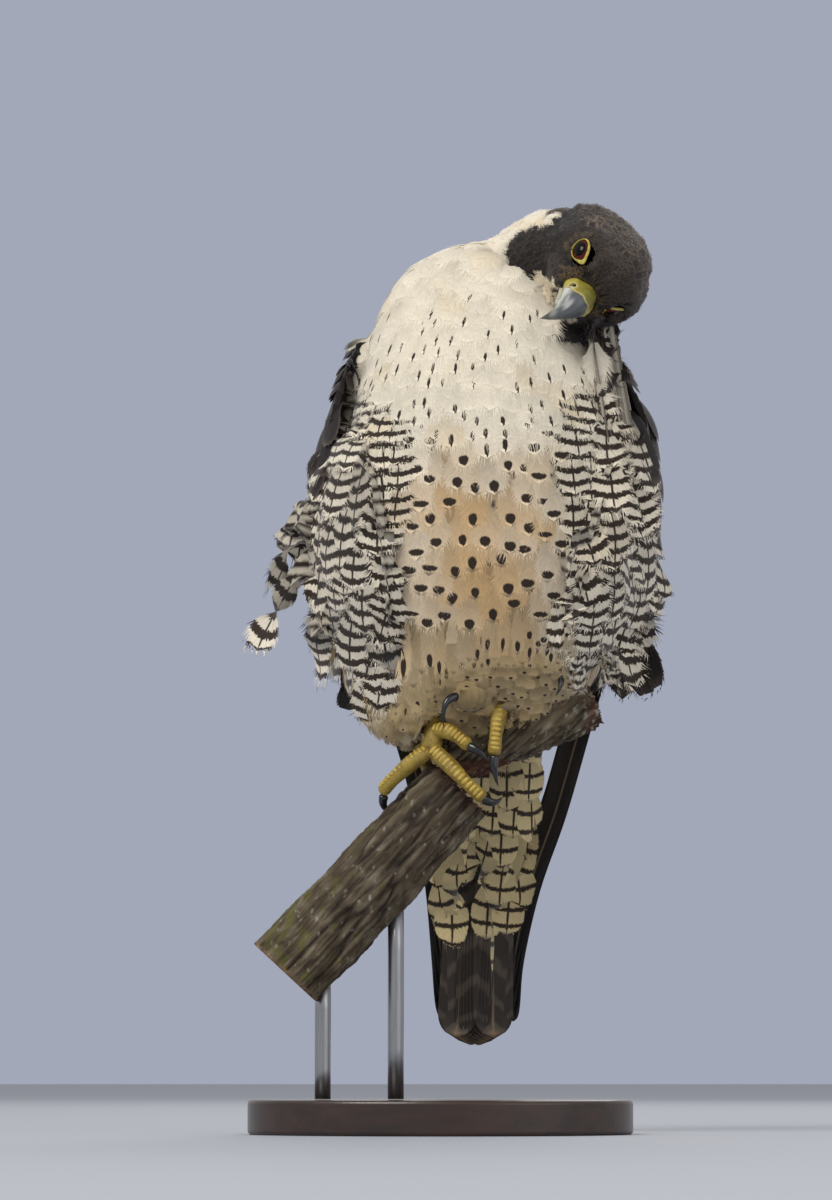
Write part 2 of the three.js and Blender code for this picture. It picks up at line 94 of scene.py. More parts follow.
def spline(rows: Rows | Array, t: Array) -> Array:
    """Looks up a smooth curve through rows of numbers.

    Args:
        rows: the rows that the curve passes through.
        t: places along it, from 0 at the first row to 1 at the last.

    Returns:
        One row for each place.
    """
    knots = np.asarray(rows, float)
    last = len(knots) - 1
    place = np.clip(t, 0, 1) * last
    index = np.minimum(place.astype(int), last - 1)
    share = (place - index)[:, None]
    padded = np.vstack([2 * knots[0] - knots[1], knots, 2 * knots[-1] - knots[-2]])
    a, b, c, d = (padded[index + k] for k in range(4))
    return 0.5 * (
        2 * b + (c - a) * share + (2 * a - 5 * b + 4 * c - d) * share**2 + (3 * b - a - 3 * c + d) * share**3
    )


def wobble(points: Array, wavelength: float, seed: int) -> Array:
    """Returns a smooth random value from about -1 to 1 at each point, from a few crossed waves."""
    rng = np.random.default_rng(seed)
    total = np.zeros(len(points))
    for scale in (1.0, 1.7, 2.9):
        for _ in range(3):
            way = unit(rng.normal(size=3)) * (2 * math.pi * scale / wavelength)
            total += np.sin(points @ way + rng.uniform(0, 2 * math.pi)) / scale
    return total / 4.2


def linear(hex_colour: str) -> Array:
    """Turns an sRGB hex colour to linear red, green and blue."""
    value = np.array([int(hex_colour[i : i + 2], 16) / 255 for i in (1, 3, 5)])
    return np.where(value <= 0.04045, value / 12.92, ((value + 0.055) / 1.055) ** 2.4)


def blend(first: Array, second: Array, share: Array) -> Array:
    """Mixes two colours, or two rows of colours, by a share for each row."""
    return first + (second - first) * share[..., None]


def head_axes() -> Array:
    """Returns the directions ahead, to the left and to the crown of the tilted head, as rows."""
    ahead = unit(HEAD_FORWARD)
    left = unit(np.cross(HEAD_UP_HINT, ahead))
    return np.stack([ahead, left, np.cross(ahead, left)])


@dataclass(frozen=True)
class HeadFrame:
    """The tilted head's own axes: x forward, y to its left and z to its crown."""

    axes: Array = field(default_factory=head_axes)

    def inside(self, points: Array) -> Array:
        """Turns places in the model to places in the head."""
        return (points - HEAD_CENTRE) @ self.axes.T

    def outside(self, points: Array) -> Array:
        """Turns places in the head to places in the model."""
        return np.asarray(points, float) @ self.axes + HEAD_CENTRE

    def turned(self, vectors: Array) -> Array:
        """Turns directions in the head to directions in the model."""
        return np.asarray(vectors, float) @ self.axes


HEAD = HeadFrame()


# Meshes


@dataclass
class Shape:
    """Points in millimetres and the faces between them."""

    points: Array
    faces: list[tuple[int, ...]] | Array
    uv: Array | None = None
    colours: Array | None = None
    bake_uv: Array | None = None
    marks: Array | None = None
    normals: Array | None = None


def joined(shapes: list[Shape]) -> Shape:
    """Joins shapes to one, keeping their colours."""
    start = 0
    faces: list[tuple[int, ...]] = []
    for shape in shapes:
        faces += [tuple(int(i) + start for i in face) for face in shape.faces]
        start += len(shape.points)
    colours = None
    if all(s.colours is not None for s in shapes):
        colours = np.vstack([s.colours for s in shapes])
    return Shape(np.vstack([s.points for s in shapes]), faces, colours=colours)


def stacked(shapes: list[Shape]) -> Shape:
    """Joins shapes made of triangle rows to one, with all that their points carry."""
    starts = np.cumsum([0] + [len(s.points) for s in shapes[:-1]])
    carried = ("uv", "colours", "bake_uv", "marks", "normals")
    return Shape(
        np.vstack([s.points for s in shapes]),
        np.vstack([s.faces + start for s, start in zip(shapes, starts)]),
        *(np.vstack([getattr(s, key) for s in shapes]) for key in carried),
    )


def paint(mesh: Mesh, name: str, values: Array) -> None:
    """Gives each point of a mesh a colour, as an attribute with a name."""
    layer = mesh.color_attributes.new(name=name, type="FLOAT_COLOR", domain="POINT")
    rows = np.ones((len(values), 4), np.float32)
    rows[:, : values.shape[1]] = values
    layer.data.foreach_set("color", rows.ravel())


def quads(rows: int, columns: int, closed: bool = True) -> list[tuple[int, ...]]:
    """Returns the faces between the rows of a grid of points.

    Args:
        rows: how many rows there are.
        columns: how many points each has.
        closed: whether the last point of a row joins the first.

    Returns:
        The four corners of each face.
    """
    faces = []
    for row in range(0, (rows - 1) * columns, columns):
        for first in range(columns if closed else columns - 1):
            second = (first + 1) % columns
            faces.append((row + first, row + second, row + columns + second, row + columns + first))
    return faces


def shown(name: str, data: ID) -> Object:
    """Puts a mesh, a light or a camera in the scene as an object."""
    made = bpy.data.objects.new(name, data)
    bpy.context.scene.collection.objects.link(made)
    return made


def moved(mesh: Mesh, points: Array) -> None:
    """Puts a mesh's points in new places, given in millimetres."""
    mesh.vertices.foreach_set("co", (points * MM).astype(np.float32).ravel())


def piece(
    name: str, shape: Shape, material: Material | None = None, smooth: bool = True
) -> Object:
    """Makes a Blender object from a shape.

    Args:
        name: the object's name.
        shape: points in millimetres, faces, and per-point UV places and colours where it has them.
        material: what it is made of.
        smooth: whether its faces are shaded smooth.

    Returns:
        The new object, at the origin.
    """
    mesh = bpy.data.meshes.new(name)
    points = np.asarray(shape.points, np.float32) * MM
    if isinstance(shape.faces, np.ndarray):
        count, sides = shape.faces.shape
        mesh.vertices.add(len(points))
        mesh.vertices.foreach_set("co", points.ravel())
        mesh.loops.add(count * sides)
        mesh.loops.foreach_set("vertex_index", shape.faces.astype(np.int32).ravel())
        mesh.polygons.add(count)
        mesh.polygons.foreach_set("loop_start", np.arange(count, dtype=np.int32) * sides)
        mesh.update(calc_edges=True)
    else:
        mesh.from_pydata(points.tolist(), [], shape.faces)
    corners = np.zeros(len(mesh.loops), np.int32)
    mesh.loops.foreach_get("vertex_index", corners)
    for uv_name, values in (("Vane", shape.uv), ("OFBake", shape.bake_uv)):
        if values is not None:
            layer = mesh.uv_layers.new(name=uv_name)
            layer.data.foreach_set("uv", values[corners].astype(np.float32).ravel())
    for key, values in (("tone", shape.colours), ("mark", shape.marks)):
        if values is not None:
            paint(mesh, key, values)
    mesh.polygons.foreach_set("use_smooth", [smooth] * len(mesh.polygons))
    mesh.validate()
    if shape.normals is not None:
        mesh.normals_split_custom_set_from_vertices(shape.normals.astype(float).tolist())
    if material:
        mesh.materials.append(material)
    return shown(name, mesh)


def solid(
    name: str, shape: Shape, material: Material | None = None, smooth: bool = True
) -> Object:
    """Makes an object from a closed shape, as piece does, and turns its faces outwards."""
    made = piece(name, shape, material, smooth)
    work = bmesh.new()
    work.from_mesh(made.data)
    bmesh.ops.recalc_face_normals(work, faces=work.faces)
    work.to_mesh(made.data)
    work.free()
    return made


def placed(made: Object, slot: str, *nodes: str) -> None:
    """Makes a finished piece part of the falcon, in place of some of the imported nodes."""
    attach(made, "root")
    if nodes:
        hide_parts(*nodes)
    LOG.info("%s: %d faces", made.name, len(made.data.polygons))


def settled(made: Object) -> Object:
    """Turns an object with modifiers to a plain mesh, shaded smooth."""
    graph = bpy.context.evaluated_depsgraph_get()
    mesh = bpy.data.meshes.new_from_object(made.evaluated_get(graph))
    made.modifiers.clear()
    made.data = mesh
    mesh.polygons.foreach_set("use_smooth", [True] * len(mesh.polygons))
    return made


def tube(
    stations: Rows,
    across: Array,
    around: int,
    along: int,
    flat: bool = False,
    relief: Callable[[Array, Array], Array] | None = None,
    grow: float = 0.0,
) -> Shape:
    """Makes a rounded form along a line.

    Args:
        stations: rows of x, y, z, half-width and half-depth.
        across: the direction that the half-width is measured along.
        around: how many faces go round it.
        along: how many faces go along it.
        flat: whether its ends are flat rather than rounded.
        relief: what the radius is multiplied by at each t and angle.
        grow: how much thicker it is all round.

    Returns:
        The form, with the angle and t of each point as its UV places.
    """
    t = np.linspace(0, 1, along + 1)
    if not flat:
        t = (1 - np.cos(np.pi * t)) / 2 * END_SHARE + t * (1 - END_SHARE)
        t[0], t[-1] = 0.0, 1.0
    rows = spline(stations, t)
    way = unit(np.gradient(rows[:, :3], axis=0))
    side = unit(across - way * (way @ across)[:, None])
    front = np.cross(side, way)
    angle = np.linspace(0, 2 * np.pi, around, endpoint=False)
    size = np.ones((len(t), around)) if relief is None else relief(t[:, None], angle[None, :])
    half = np.maximum(rows[:, 3:5], 0)
    rounded = half + grow * (half > 1e-3)
    points = (
        rows[:, None, :3]
        + side[:, None] * (rounded[:, None, :1] * size[..., None] * np.cos(angle)[None, :, None])
        + front[:, None] * (rounded[:, None, 1:] * size[..., None] * np.sin(angle)[None, :, None])
    )
    uv = np.stack(np.broadcast_arrays(angle[None, :] / (2 * np.pi), t[:, None]), -1)
    start, stop = (0, len(t)) if flat else (1, len(t) - 1)
    body = points[start:stop].reshape(-1, 3)
    faces = quads(stop - start, around)
    end = len(body) - around
    for i in range(around):
        j = (i + 1) % around
        faces += [(len(body), j, i), (len(body) + 1, end + i, end + j)]
    points_all = np.vstack([body, rows[0, :3], rows[-1, :3]])
    uv_all = np.vstack([uv[start:stop].reshape(-1, 2), [[0.5, 0]], [[0.5, 1]]])
    return Shape(points_all, faces, uv_all)


def fused(name: str, shapes: list[Shape], voxel: float, smoothing: int) -> Object:
    """Melts overlapping closed forms to one smooth skin.

    Args:
        name: the object's name.
        shapes: the forms.
        voxel: the size of the grid that they are melted on.
        smoothing: how often the surface is smoothed.

    Returns:
        One closed mesh.
    """
    made = solid(name, joined(shapes))
    remesh = made.modifiers.new("melt", "REMESH")
    remesh.mode = "VOXEL"
    remesh.voxel_size = voxel * MM
    smooth = made.modifiers.new("smooth", "SMOOTH")
    smooth.iterations = smoothing
    return settled(made)


def coordinates(mesh: Mesh) -> Array:
    """Returns a mesh's points in millimetres."""
    points = np.zeros(len(mesh.vertices) * 3, np.float32)
    mesh.vertices.foreach_get("co", points)
    return points.reshape(-1, 3).astype(float) / MM


def normals(mesh: Mesh) -> Array:
    """Returns the direction that a mesh faces at each point."""
    values = np.zeros(len(mesh.vertices) * 3, np.float32)
    mesh.vertex_normals.foreach_get("vector", values)
    return values.reshape(-1, 3).astype(float)


# Finishes


def feed(tree: NodeTree, node: Node, inputs: object) -> None:
    """Sets or links a node's inputs.

    Args:
        tree: the material's or the geometry's tree.
        node: the node.
        inputs: what goes into it, in order or by name or number: a value, a socket, or a node for its result.
    """
    for key, value in inputs.items() if isinstance(inputs, dict) else enumerate(inputs):
        if isinstance(value, Node):
            value = value.outputs[2 if value.bl_idname == "ShaderNodeMix" else 0]
        if isinstance(value, NodeSocket):
            tree.links.new(value, node.inputs[key])
        else:
            node.inputs[key].default_value = value


def add(tree: NodeTree, kind: str, inputs: object = (), **settings: object) -> Node:
    """Adds a node to a tree.

    Args:
        tree: the material's or the geometry's tree.
        kind: the node's type name.
        inputs: what goes into it, as for feed.
        **settings: values for its properties.

    Returns:
        The node.
    """
    node = tree.nodes.new(kind)
    for key, value in settings.items():
        setattr(node, key, value)
    feed(tree, node, inputs)
    return node


def rgba(hex_colour: str) -> tuple[float, ...]:
    """Returns a linear colour with full alpha, from sRGB hex."""
    return (*linear(hex_colour).tolist(), 1.0)


def surface(name: str, **settings: object) -> tuple[Material, NodeTree, Node]:
    """Makes a material with one principled shader.

    Args:
        name: the material's name.
        **settings: values for the shader's own sockets, with spaces written as underscores.

    Returns:
        The material, its tree and its shader.
    """
    material = bpy.data.materials.new(name)
    material.use_nodes = True
    tree = material.node_tree
    shader = tree.nodes["Principled BSDF"]
    for key, value in settings.items():
        shader.inputs[key.replace("_", " ")].default_value = value
    return material, tree, shader


@dataclass(frozen=True)
class FeatherVane:
    """Feather vane: keratin barbs, soft and dull on the body and with a low gloss on the wings."""

    name: str
    roughness: float
    sheen: float
    edge: str = "#7a6b5f"  # the pale fringe of a scaly feather
    silk: float = 0.16  # how far the streaks of the barbs differ
    bars: float = 4.4  # dark bars in a feather's length
    rim: float = 0.84  # where the pale fringe starts

    def made(self) -> Material:
        """Returns the material: ground colour and pattern come from each feather's own attributes, with
        painted shade towards each feather's root.
        """
        material, tree, shader = surface(
            self.name,
            Roughness=self.roughness,
            Sheen_Weight=self.sheen,
            Sheen_Roughness=0.5,
            Specular_IOR_Level=0.25,
        )
        tone = add(tree, "ShaderNodeAttribute", attribute_name="tone")
        mark = add(tree, "ShaderNodeAttribute", attribute_name="mark")
        kinds = add(tree, "ShaderNodeSeparateColor", (mark,))
        spot_size, bar_share, rim_share = kinds.outputs
        vane = add(tree, "ShaderNodeSeparateXYZ", (add(tree, "ShaderNodeUVMap", uv_map="Vane"),))
        across = add(tree, "ShaderNodeMath", (vane.outputs[0], 2.0, -1.0), operation="MULTIPLY_ADD")
        side = add(tree, "ShaderNodeMath", (across,), operation="ABSOLUTE")
        barb = add(tree, "ShaderNodeMath", (side, -0.3, vane.outputs[1]), operation="MULTIPLY_ADD")
        streaks = add(tree, "ShaderNodeCombineXYZ", (barb, across, mark.outputs["Alpha"]))
        stretched = add(tree, "ShaderNodeVectorMath", (streaks, (34.0, 2.2, 90.0)), operation="MULTIPLY")
        silk = add(tree, "ShaderNodeTexNoise", {"Vector": stretched, "Scale": 1.0, "Detail": 2.0})
        along = add(tree, "ShaderNodeMath", (silk, 0.1, vane.outputs[1]), operation="MULTIPLY_ADD")
        spot = self.spot(tree, along, side, spot_size)
        bars = self.barred(tree, along, side, bar_share, mark.outputs["Alpha"])
        dark = add(tree, "ShaderNodeMath", (spot, bars), operation="MAXIMUM")
        farthest = add(tree, "ShaderNodeMath", (side, along), operation="MAXIMUM")
        rim = add(tree, "ShaderNodeMapRange", (farthest, self.rim, self.rim + 0.14))
        rimmed = add(tree, "ShaderNodeMath", (rim, rim_share), operation="MULTIPLY")
        fringed = add(tree, "ShaderNodeMix", {0: rimmed, 6: tone, 7: rgba(self.edge)}, data_type="RGBA")
        marked = add(tree, "ShaderNodeMix", {0: dark, 6: fringed, 7: rgba(BAR_HEX)}, data_type="RGBA")
        # painted shade: each vane is darker towards its root, where the feathers lie under one another
        root = add(tree, "ShaderNodeMapRange", (vane.outputs[1], 0.0, 0.8, 0.62, 1.0))
        light = add(tree, "ShaderNodeMapRange", (silk, 0.25, 0.75, 1 - self.silk, 1 + self.silk))
        shade = add(tree, "ShaderNodeMath", (root, light), operation="MULTIPLY")
        shaded = add(tree, "ShaderNodeVectorMath", {0: marked, "Scale": shade}, operation="SCALE")
        bump = add(tree, "ShaderNodeBump", {"Strength": 0.25, "Distance": 0.3 * MM, "Height": silk})
        feed(tree, shader, {"Base Color": shaded, "Normal": bump})
        return material

    @staticmethod
    def spot(
        tree: NodeTree, along: Node, side: Node, size: NodeSocket
    ) -> Node:
        """Returns a teardrop near the tip where the size is small, and a round blot where it is large."""
        wide = add(tree, "ShaderNodeMath", (size, 0.02), operation="MAXIMUM")
        ratio = add(tree, "ShaderNodeMath", (side, wide), operation="DIVIDE")
        squared = add(tree, "ShaderNodeMath", (ratio, 2.4), operation="POWER")
        half = add(tree, "ShaderNodeMath", (size, -0.13, 0.17), operation="MULTIPLY_ADD")
        offset = add(tree, "ShaderNodeMath", (along, 0.75), operation="SUBTRACT")
        share = add(tree, "ShaderNodeMath", (offset, half), operation="DIVIDE")
        rounded = add(tree, "ShaderNodeMath", (share, share, squared), operation="MULTIPLY_ADD")
        inside = add(tree, "ShaderNodeMapRange", (rounded, 1.25, 0.8))
        present = add(tree, "ShaderNodeMath", (size, 0.04), operation="GREATER_THAN")
        return add(tree, "ShaderNodeMath", (inside, present), operation="MULTIPLY")

    def barred(
        self,
        tree: NodeTree,
        along: Node,
        side: Node,
        share: NodeSocket,
        phase: NodeSocket,
    ) -> Node:
        """Returns dark bars across the vane, in step with its neighbours', and joined by a dark shaft."""
        bowed = add(tree, "ShaderNodeMath", (side, side), operation="MULTIPLY")
        arched = add(tree, "ShaderNodeMath", (bowed, 0.05, along), operation="MULTIPLY_ADD")
        cycle = 2 * math.pi * self.bars
        turns = add(tree, "ShaderNodeMath", (arched, cycle, -cycle * TIP_SHARE), operation="MULTIPLY_ADD")
        stepped = add(tree, "ShaderNodeMath", (phase, 2 * math.pi, turns), operation="MULTIPLY_ADD")
        wave = add(tree, "ShaderNodeMath", (stepped,), operation="COSINE")
        level = add(tree, "ShaderNodeMath", (wave, share), operation="ADD")
        bars = add(tree, "ShaderNodeMapRange", (level, 0.9, 1.15))
        shaft = add(tree, "ShaderNodeMapRange", (side, 0.1, 0.05))
        either = add(tree, "ShaderNodeMath", (bars, shaft), operation="MAXIMUM")
        present = add(tree, "ShaderNodeMath", (share, 0.05), operation="GREATER_THAN")
        return add(tree, "ShaderNodeMath", (either, present), operation="MULTIPLY")


@dataclass(frozen=True)
class BarredVane:
    """Flight feather: a long glossy vane, with barbs slanting from its shaft and paler bars on some."""

    name: str
    dark: str
    pale: str
    tip: str
    bar_length: float  # millimetres from one pale bar to the next, or 0 for a plain feather
    roughness: float = 0.42
    barb_step: float = 1.1  # millimetres, coarser than the real 0.3 so that the lines show

    def made(self, length: float) -> Material:
        """Returns the material for feathers of a length in millimetres, which reads their Vane UV map."""
        material, tree, shader = surface(
            self.name, Roughness=self.roughness, Specular_IOR_Level=0.35, Sheen_Weight=0.06
        )
        vane = add(tree, "ShaderNodeSeparateXYZ", (add(tree, "ShaderNodeUVMap", uv_map="Vane"),))
        across = add(tree, "ShaderNodeMath", (vane.outputs[0], 0.5), operation="SUBTRACT")
        side = add(tree, "ShaderNodeMath", (across,), operation="ABSOLUTE")
        slant = add(tree, "ShaderNodeMath", (side, -0.1, vane.outputs[1]), operation="MULTIPLY_ADD")
        lines = length * 2 * math.pi / self.barb_step
        turns = add(tree, "ShaderNodeMath", (slant, lines), operation="MULTIPLY")
        barbs = add(tree, "ShaderNodeMath", (turns,), operation="SINE")
        place = add(tree, "ShaderNodeTexCoord")
        cloud = {"Vector": place.outputs["Object"], "Scale": 1 / (6 * MM), "Detail": 4.0}
        grain = add(tree, "ShaderNodeTexNoise", cloud)
        cycles = length * 2 * math.pi / self.bar_length if self.bar_length else 0.0
        stepped = add(tree, "ShaderNodeMath", (slant, cycles), operation="MULTIPLY")
        uneven = add(tree, "ShaderNodeMath", (grain, 2.4, stepped), operation="MULTIPLY_ADD")
        wave = add(tree, "ShaderNodeMath", (uneven,), operation="SINE")
        bars = add(tree, "ShaderNodeMapRange", (wave, 0.3, 0.9, 0.0, 0.75 if self.bar_length else 0.0))
        both = {0: bars, 6: rgba(self.dark), 7: rgba(self.pale)}
        ground = add(tree, "ShaderNodeMix", both, data_type="RGBA")
        end = add(tree, "ShaderNodeMapRange", (slant, 0.945, 0.975))
        tipped = add(tree, "ShaderNodeMix", {0: end, 6: ground, 7: rgba(self.tip)}, data_type="RGBA")
        rib = add(tree, "ShaderNodeMapRange", (side, 0.045, 0.02))
        ribbed = add(tree, "ShaderNodeMix", {0: rib, 6: tipped, 7: rgba("#7d6e5e")}, data_type="RGBA")
        bump = add(tree, "ShaderNodeBump", {"Strength": 0.35, "Distance": 0.15 * MM, "Height": barbs})
        feed(tree, shader, {"Base Color": ribbed, "Normal": bump})
        return material


@dataclass(frozen=True)
class Mottled:
    """A skin, horn, wood or shell whose colour drifts between two tones, with a fine bump."""

    name: str
    first: str
    second: str
    patch: float  # millimetres
    grain: float  # millimetres
    depth: float  # of the bump, in millimetres
    roughness: float
    coat: float = 0.0
    subsurface: float = 0.0
    attribute: bool = False
    stretch: tuple[float, float, float] = (1.0, 1.0, 1.0)
    turn: float = 0.0

    def made(self) -> Material:
        """Returns the material."""
        material, tree, shader = surface(
            self.name,
            Roughness=self.roughness,
            Coat_Weight=self.coat,
            Coat_Roughness=0.15,
            Subsurface_Weight=self.subsurface,
            Subsurface_Scale=0.002,
        )
        place = add(tree, "ShaderNodeTexCoord")
        mapped = add(
            tree,
            "ShaderNodeMapping",
            {"Vector": place.outputs["Object"], "Scale": self.stretch, "Rotation": (0.0, self.turn, 0.0)},
            vector_type="TEXTURE",
        )
        cloud = add(
            tree,
            "ShaderNodeTexNoise",
            {"Vector": mapped, "Scale": 1 / (self.patch * MM), "Detail": 5.0, "Roughness": 0.6},
        )
        share = add(tree, "ShaderNodeMapRange", (cloud, 0.35, 0.65))
        both = {0: share, 6: rgba(self.first), 7: rgba(self.second)}
        colour = add(tree, "ShaderNodeMix", both, data_type="RGBA")
        if self.attribute:
            tone = add(tree, "ShaderNodeAttribute", attribute_name="tone")
            both = {0: 1.0, 6: colour, 7: tone}
            colour = add(tree, "ShaderNodeMix", both, data_type="RGBA", blend_type="MULTIPLY")
        fine = add(
            tree,
            "ShaderNodeTexNoise",
            {"Vector": mapped, "Scale": 1 / (self.grain * MM), "Detail": 6.0, "Roughness": 0.65},
        )
        bump = add(tree, "ShaderNodeBump", {"Strength": 0.8, "Distance": self.depth * MM, "Height": fine})
        feed(tree, shader, {"Base Color": colour, "Normal": bump})
        return material


class Palette:
    """Colours of the plumage, in linear light."""

    HOOD = linear("#231d1a")
    CROWN = linear("#30271f")
    MOUSTACHE = linear("#1d1816")
    CREAM = linear("#ece2cd")
    BUFF = linear("#dcc396")
    PEACH = linear("#cfa569")
    THIGH = linear("#b0986b")
    FLANK = linear("#e3d9c6")
    WING = linear("#2f2927")
    MANTLE = linear("#45474b")
    LORE = linear("#6f5b40")
    ORBIT = linear("#4a3f33")
    VENT = linear("#d3c091")
    CHIN = linear("#e8d8b8")


# Markings


@dataclass
class Plumage:
    """What grows at each root: its ground colour, its pattern, its size and how deep the coat is there."""

    tone: Array
    mark: Array  # spot size, share of dark bars, pale fringe, and the phase of the bars and streaks
    length: Array
    width: Array
    depth: Array

    def put(
        self, where: Array, length: float, width: float, depth: float, mark: tuple[float, float, float]
    ) -> None:
        """Sets the sizes and the pattern of the feathers of one region."""
        self.length[where], self.width[where], self.depth[where] = length, width, depth
        self.mark[where, :3] = mark

    def rows(self, which: Array) -> "Plumage":
        """Returns the plumage of some of the places."""
        every = (self.tone, self.mark, self.length, self.width, self.depth)
        return Plumage(*(values[which] for values in every))


@dataclass
class Ground:
    """Places on the skin, and what their markings depend on."""

    points: Array
    facing: Array
    owner: Array
    noise: Array  # a slow wobble for drifts of colour
    fine: Array  # a quick wobble for ragged edges
    chance: Array  # a random share for each place


class Markings:
    """The falcon's markings as a function of place, for the skin and the feathers alike."""

    BELLY_TOP = 349.0  # where the breast's teardrops end and the belly's blots begin, in the middle
    LEGS_TOP = 268.0  # where the feathers over the legs begin
    WING_TOPS = (397.0, 400.0)  # right and left: above this the feathers of the trunk cover the wing
    MIDDLE = 20.0  # x of the body's middle plane
    BESIDE = 8.0  # how near the left wing a place of the trunk has to be to carry the wing's feathers
    FARTHEST = 9.0  # how deep the coat may be
    STEP = 0.01  # how far past a surface the next search starts

    def __init__(self, nodes: dict[str, Object]) -> None:
        """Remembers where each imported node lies.

        Args:
            nodes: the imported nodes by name.
        """
        points: list[Array] = []
        faces: list[tuple[int, ...]] = []
        self.owner: list[str] = []
        for name in Bird.FLESH:
            start = sum(map(len, points))
            points.append(coordinates(nodes[name].data))
            for polygon in nodes[name].data.polygons:
                faces.append(tuple(i + start for i in polygon.vertices))
                self.owner.append(name)
        self.tree = BVHTree.FromPolygons(np.vstack(points).tolist(), faces)
        wing = nodes["wing_left"].data
        outline = [tuple(polygon.vertices) for polygon in wing.polygons]
        self.wing = BVHTree.FromPolygons(coordinates(wing).tolist(), outline)

    def owners(self, points: Array) -> Array:
        """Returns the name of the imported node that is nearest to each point."""
        found = np.array([self.owner[self.tree.find_nearest(Vector(p))[2]] for p in points], dtype="<U20")
        top = np.where(points[:, 0] < self.MIDDLE, *self.WING_TOPS)
        high = np.char.startswith(found, "wing") & (points[:, 2] > top)
        found = np.where(high, "trunk", found)
        beside = np.array([self.wing.find_nearest(Vector(p), self.BESIDE)[0] is not None for p in points])
        return np.where(beside & (found == "trunk") & (points[:, 2] < top), "wing_left", found)

    def reach(self, points: Array, facing: Array) -> Array:
        """Returns how far it is from each point out to the last packed surface within reach."""
        far = np.zeros(len(points))
        for i, (point, way) in enumerate(zip(points, facing)):
            start, direction, total = Vector(point), Vector(way), 0.0
            while total < self.FARTHEST:
                hit = self.tree.ray_cast(start, direction, self.FARTHEST - total)
                if hit[0] is None:
                    break
                total += hit[3] + self.STEP
                far[i] = total
                start = hit[0] + direction * self.STEP
        return far

    def at(self, points: Array, facing: Array, owner: Array, rng: np.random.Generator) -> Plumage:
        """Works out what grows at each point of the skin.

        Args:
            points: places on the skin, in millimetres.
            facing: the skin's direction there.
            owner: the name of the node that each place belongs to.
            rng: the source of the small differences between feathers.

        Returns:
            The plumage, one row for each place.
        """
        count = len(points)
        ground = Ground(points, facing, owner, wobble(points, 34, 3), wobble(points, 9, 4), rng.random(count))
        sizes = (np.full(count, size) for size in (24.0, 12.5, 4.2))
        coat = Plumage(np.tile(Palette.CREAM, (count, 1)), np.zeros((count, 4)), *sizes)
        self.front(ground, coat, rng)
        self.sides(ground, coat)
        self.head(ground, coat)
        self.shoulders(ground, coat)
        coat.tone *= rng.normal(1, 0.035, (count, 1))
        coat.length *= rng.uniform(0.88, 1.14, count)
        coat.width *= rng.uniform(0.92, 1.08, count)
        coat.mark[:, 3] = rng.random(count)
        return coat

    def front(self, ground: Ground, coat: Plumage, rng: np.random.Generator) -> None:
        """Writes the breast, belly and thighs: drifts of buff, teardrops above, blots below, bars beside.

        Args:
            ground: places on the skin.
            coat: the plumage, changed in place.
            rng: the source of the small differences between feathers.
        """
        x, _, z = ground.points.T
        noise, fine, chance = ground.noise, ground.fine, ground.chance
        tone, mark = coat.tone, coat.mark
        outer = np.abs(x - self.MIDDLE)
        border = self.BELLY_TOP + 36 * ramp(outer, 14, 54) + 5 * noise
        belly = ramp(border - z, -4, 10)
        middle = 1 - ramp(outer + 5 * fine, 22, 50)
        tone[:] = blend(tone, Palette.BUFF, ramp(noise, 0.2, 1.0) * 0.5)
        warmth = 0.45 + 0.35 * ramp(noise, -0.6, 0.6)
        tone[:] = blend(tone, Palette.PEACH, ramp(360 - z, 0, 50) * middle * warmth)
        low = ramp(self.LEGS_TOP - z, 0, 34)
        tone[:] = blend(tone, Palette.THIGH, low * 0.85)
        mark[:, 0] = np.where(chance < 0.6 * ramp(432 - z, 0, 24), 0.14 + 0.1 * ramp(400 - z, 0, 50), 0)
        spotted = belly > 0.5
        coat.put(spotted, 24, 12.5, 4.4, (0.46, 0, 0))
        mark[spotted & (outer > 15 + 6 * fine), 0] = 0.62
        mark[spotted & (outer > 24 + 6 * fine), 0] = 0.82
        coat.put(spotted & (outer > 33 + 6 * fine), 30, 16, 5.5, (0, 0.85, 0))
        mark[spotted, 0] *= rng.uniform(0.85, 1.12, spotted.sum())
        hairy = low > 0.35
        coat.put(hairy, 30, 7.5, 6, (0, 0, 0))
        mark[hairy & (chance < 0.4), 0] = 0.45

        thigh = np.char.startswith(ground.owner, "thigh")
        tone[thigh] = blend(Palette.THIGH, Palette.CREAM, ramp(fine[thigh], -0.2, 0.9) * 0.35)
        coat.put(thigh, 31, 7.5, 6, (0, 0, 0))
        mark[thigh & (chance < 0.4), 0] = 0.45
        tuft = hairy | thigh
        tone[tuft] *= rng.normal(1, 0.12, (tuft.sum(), 1))

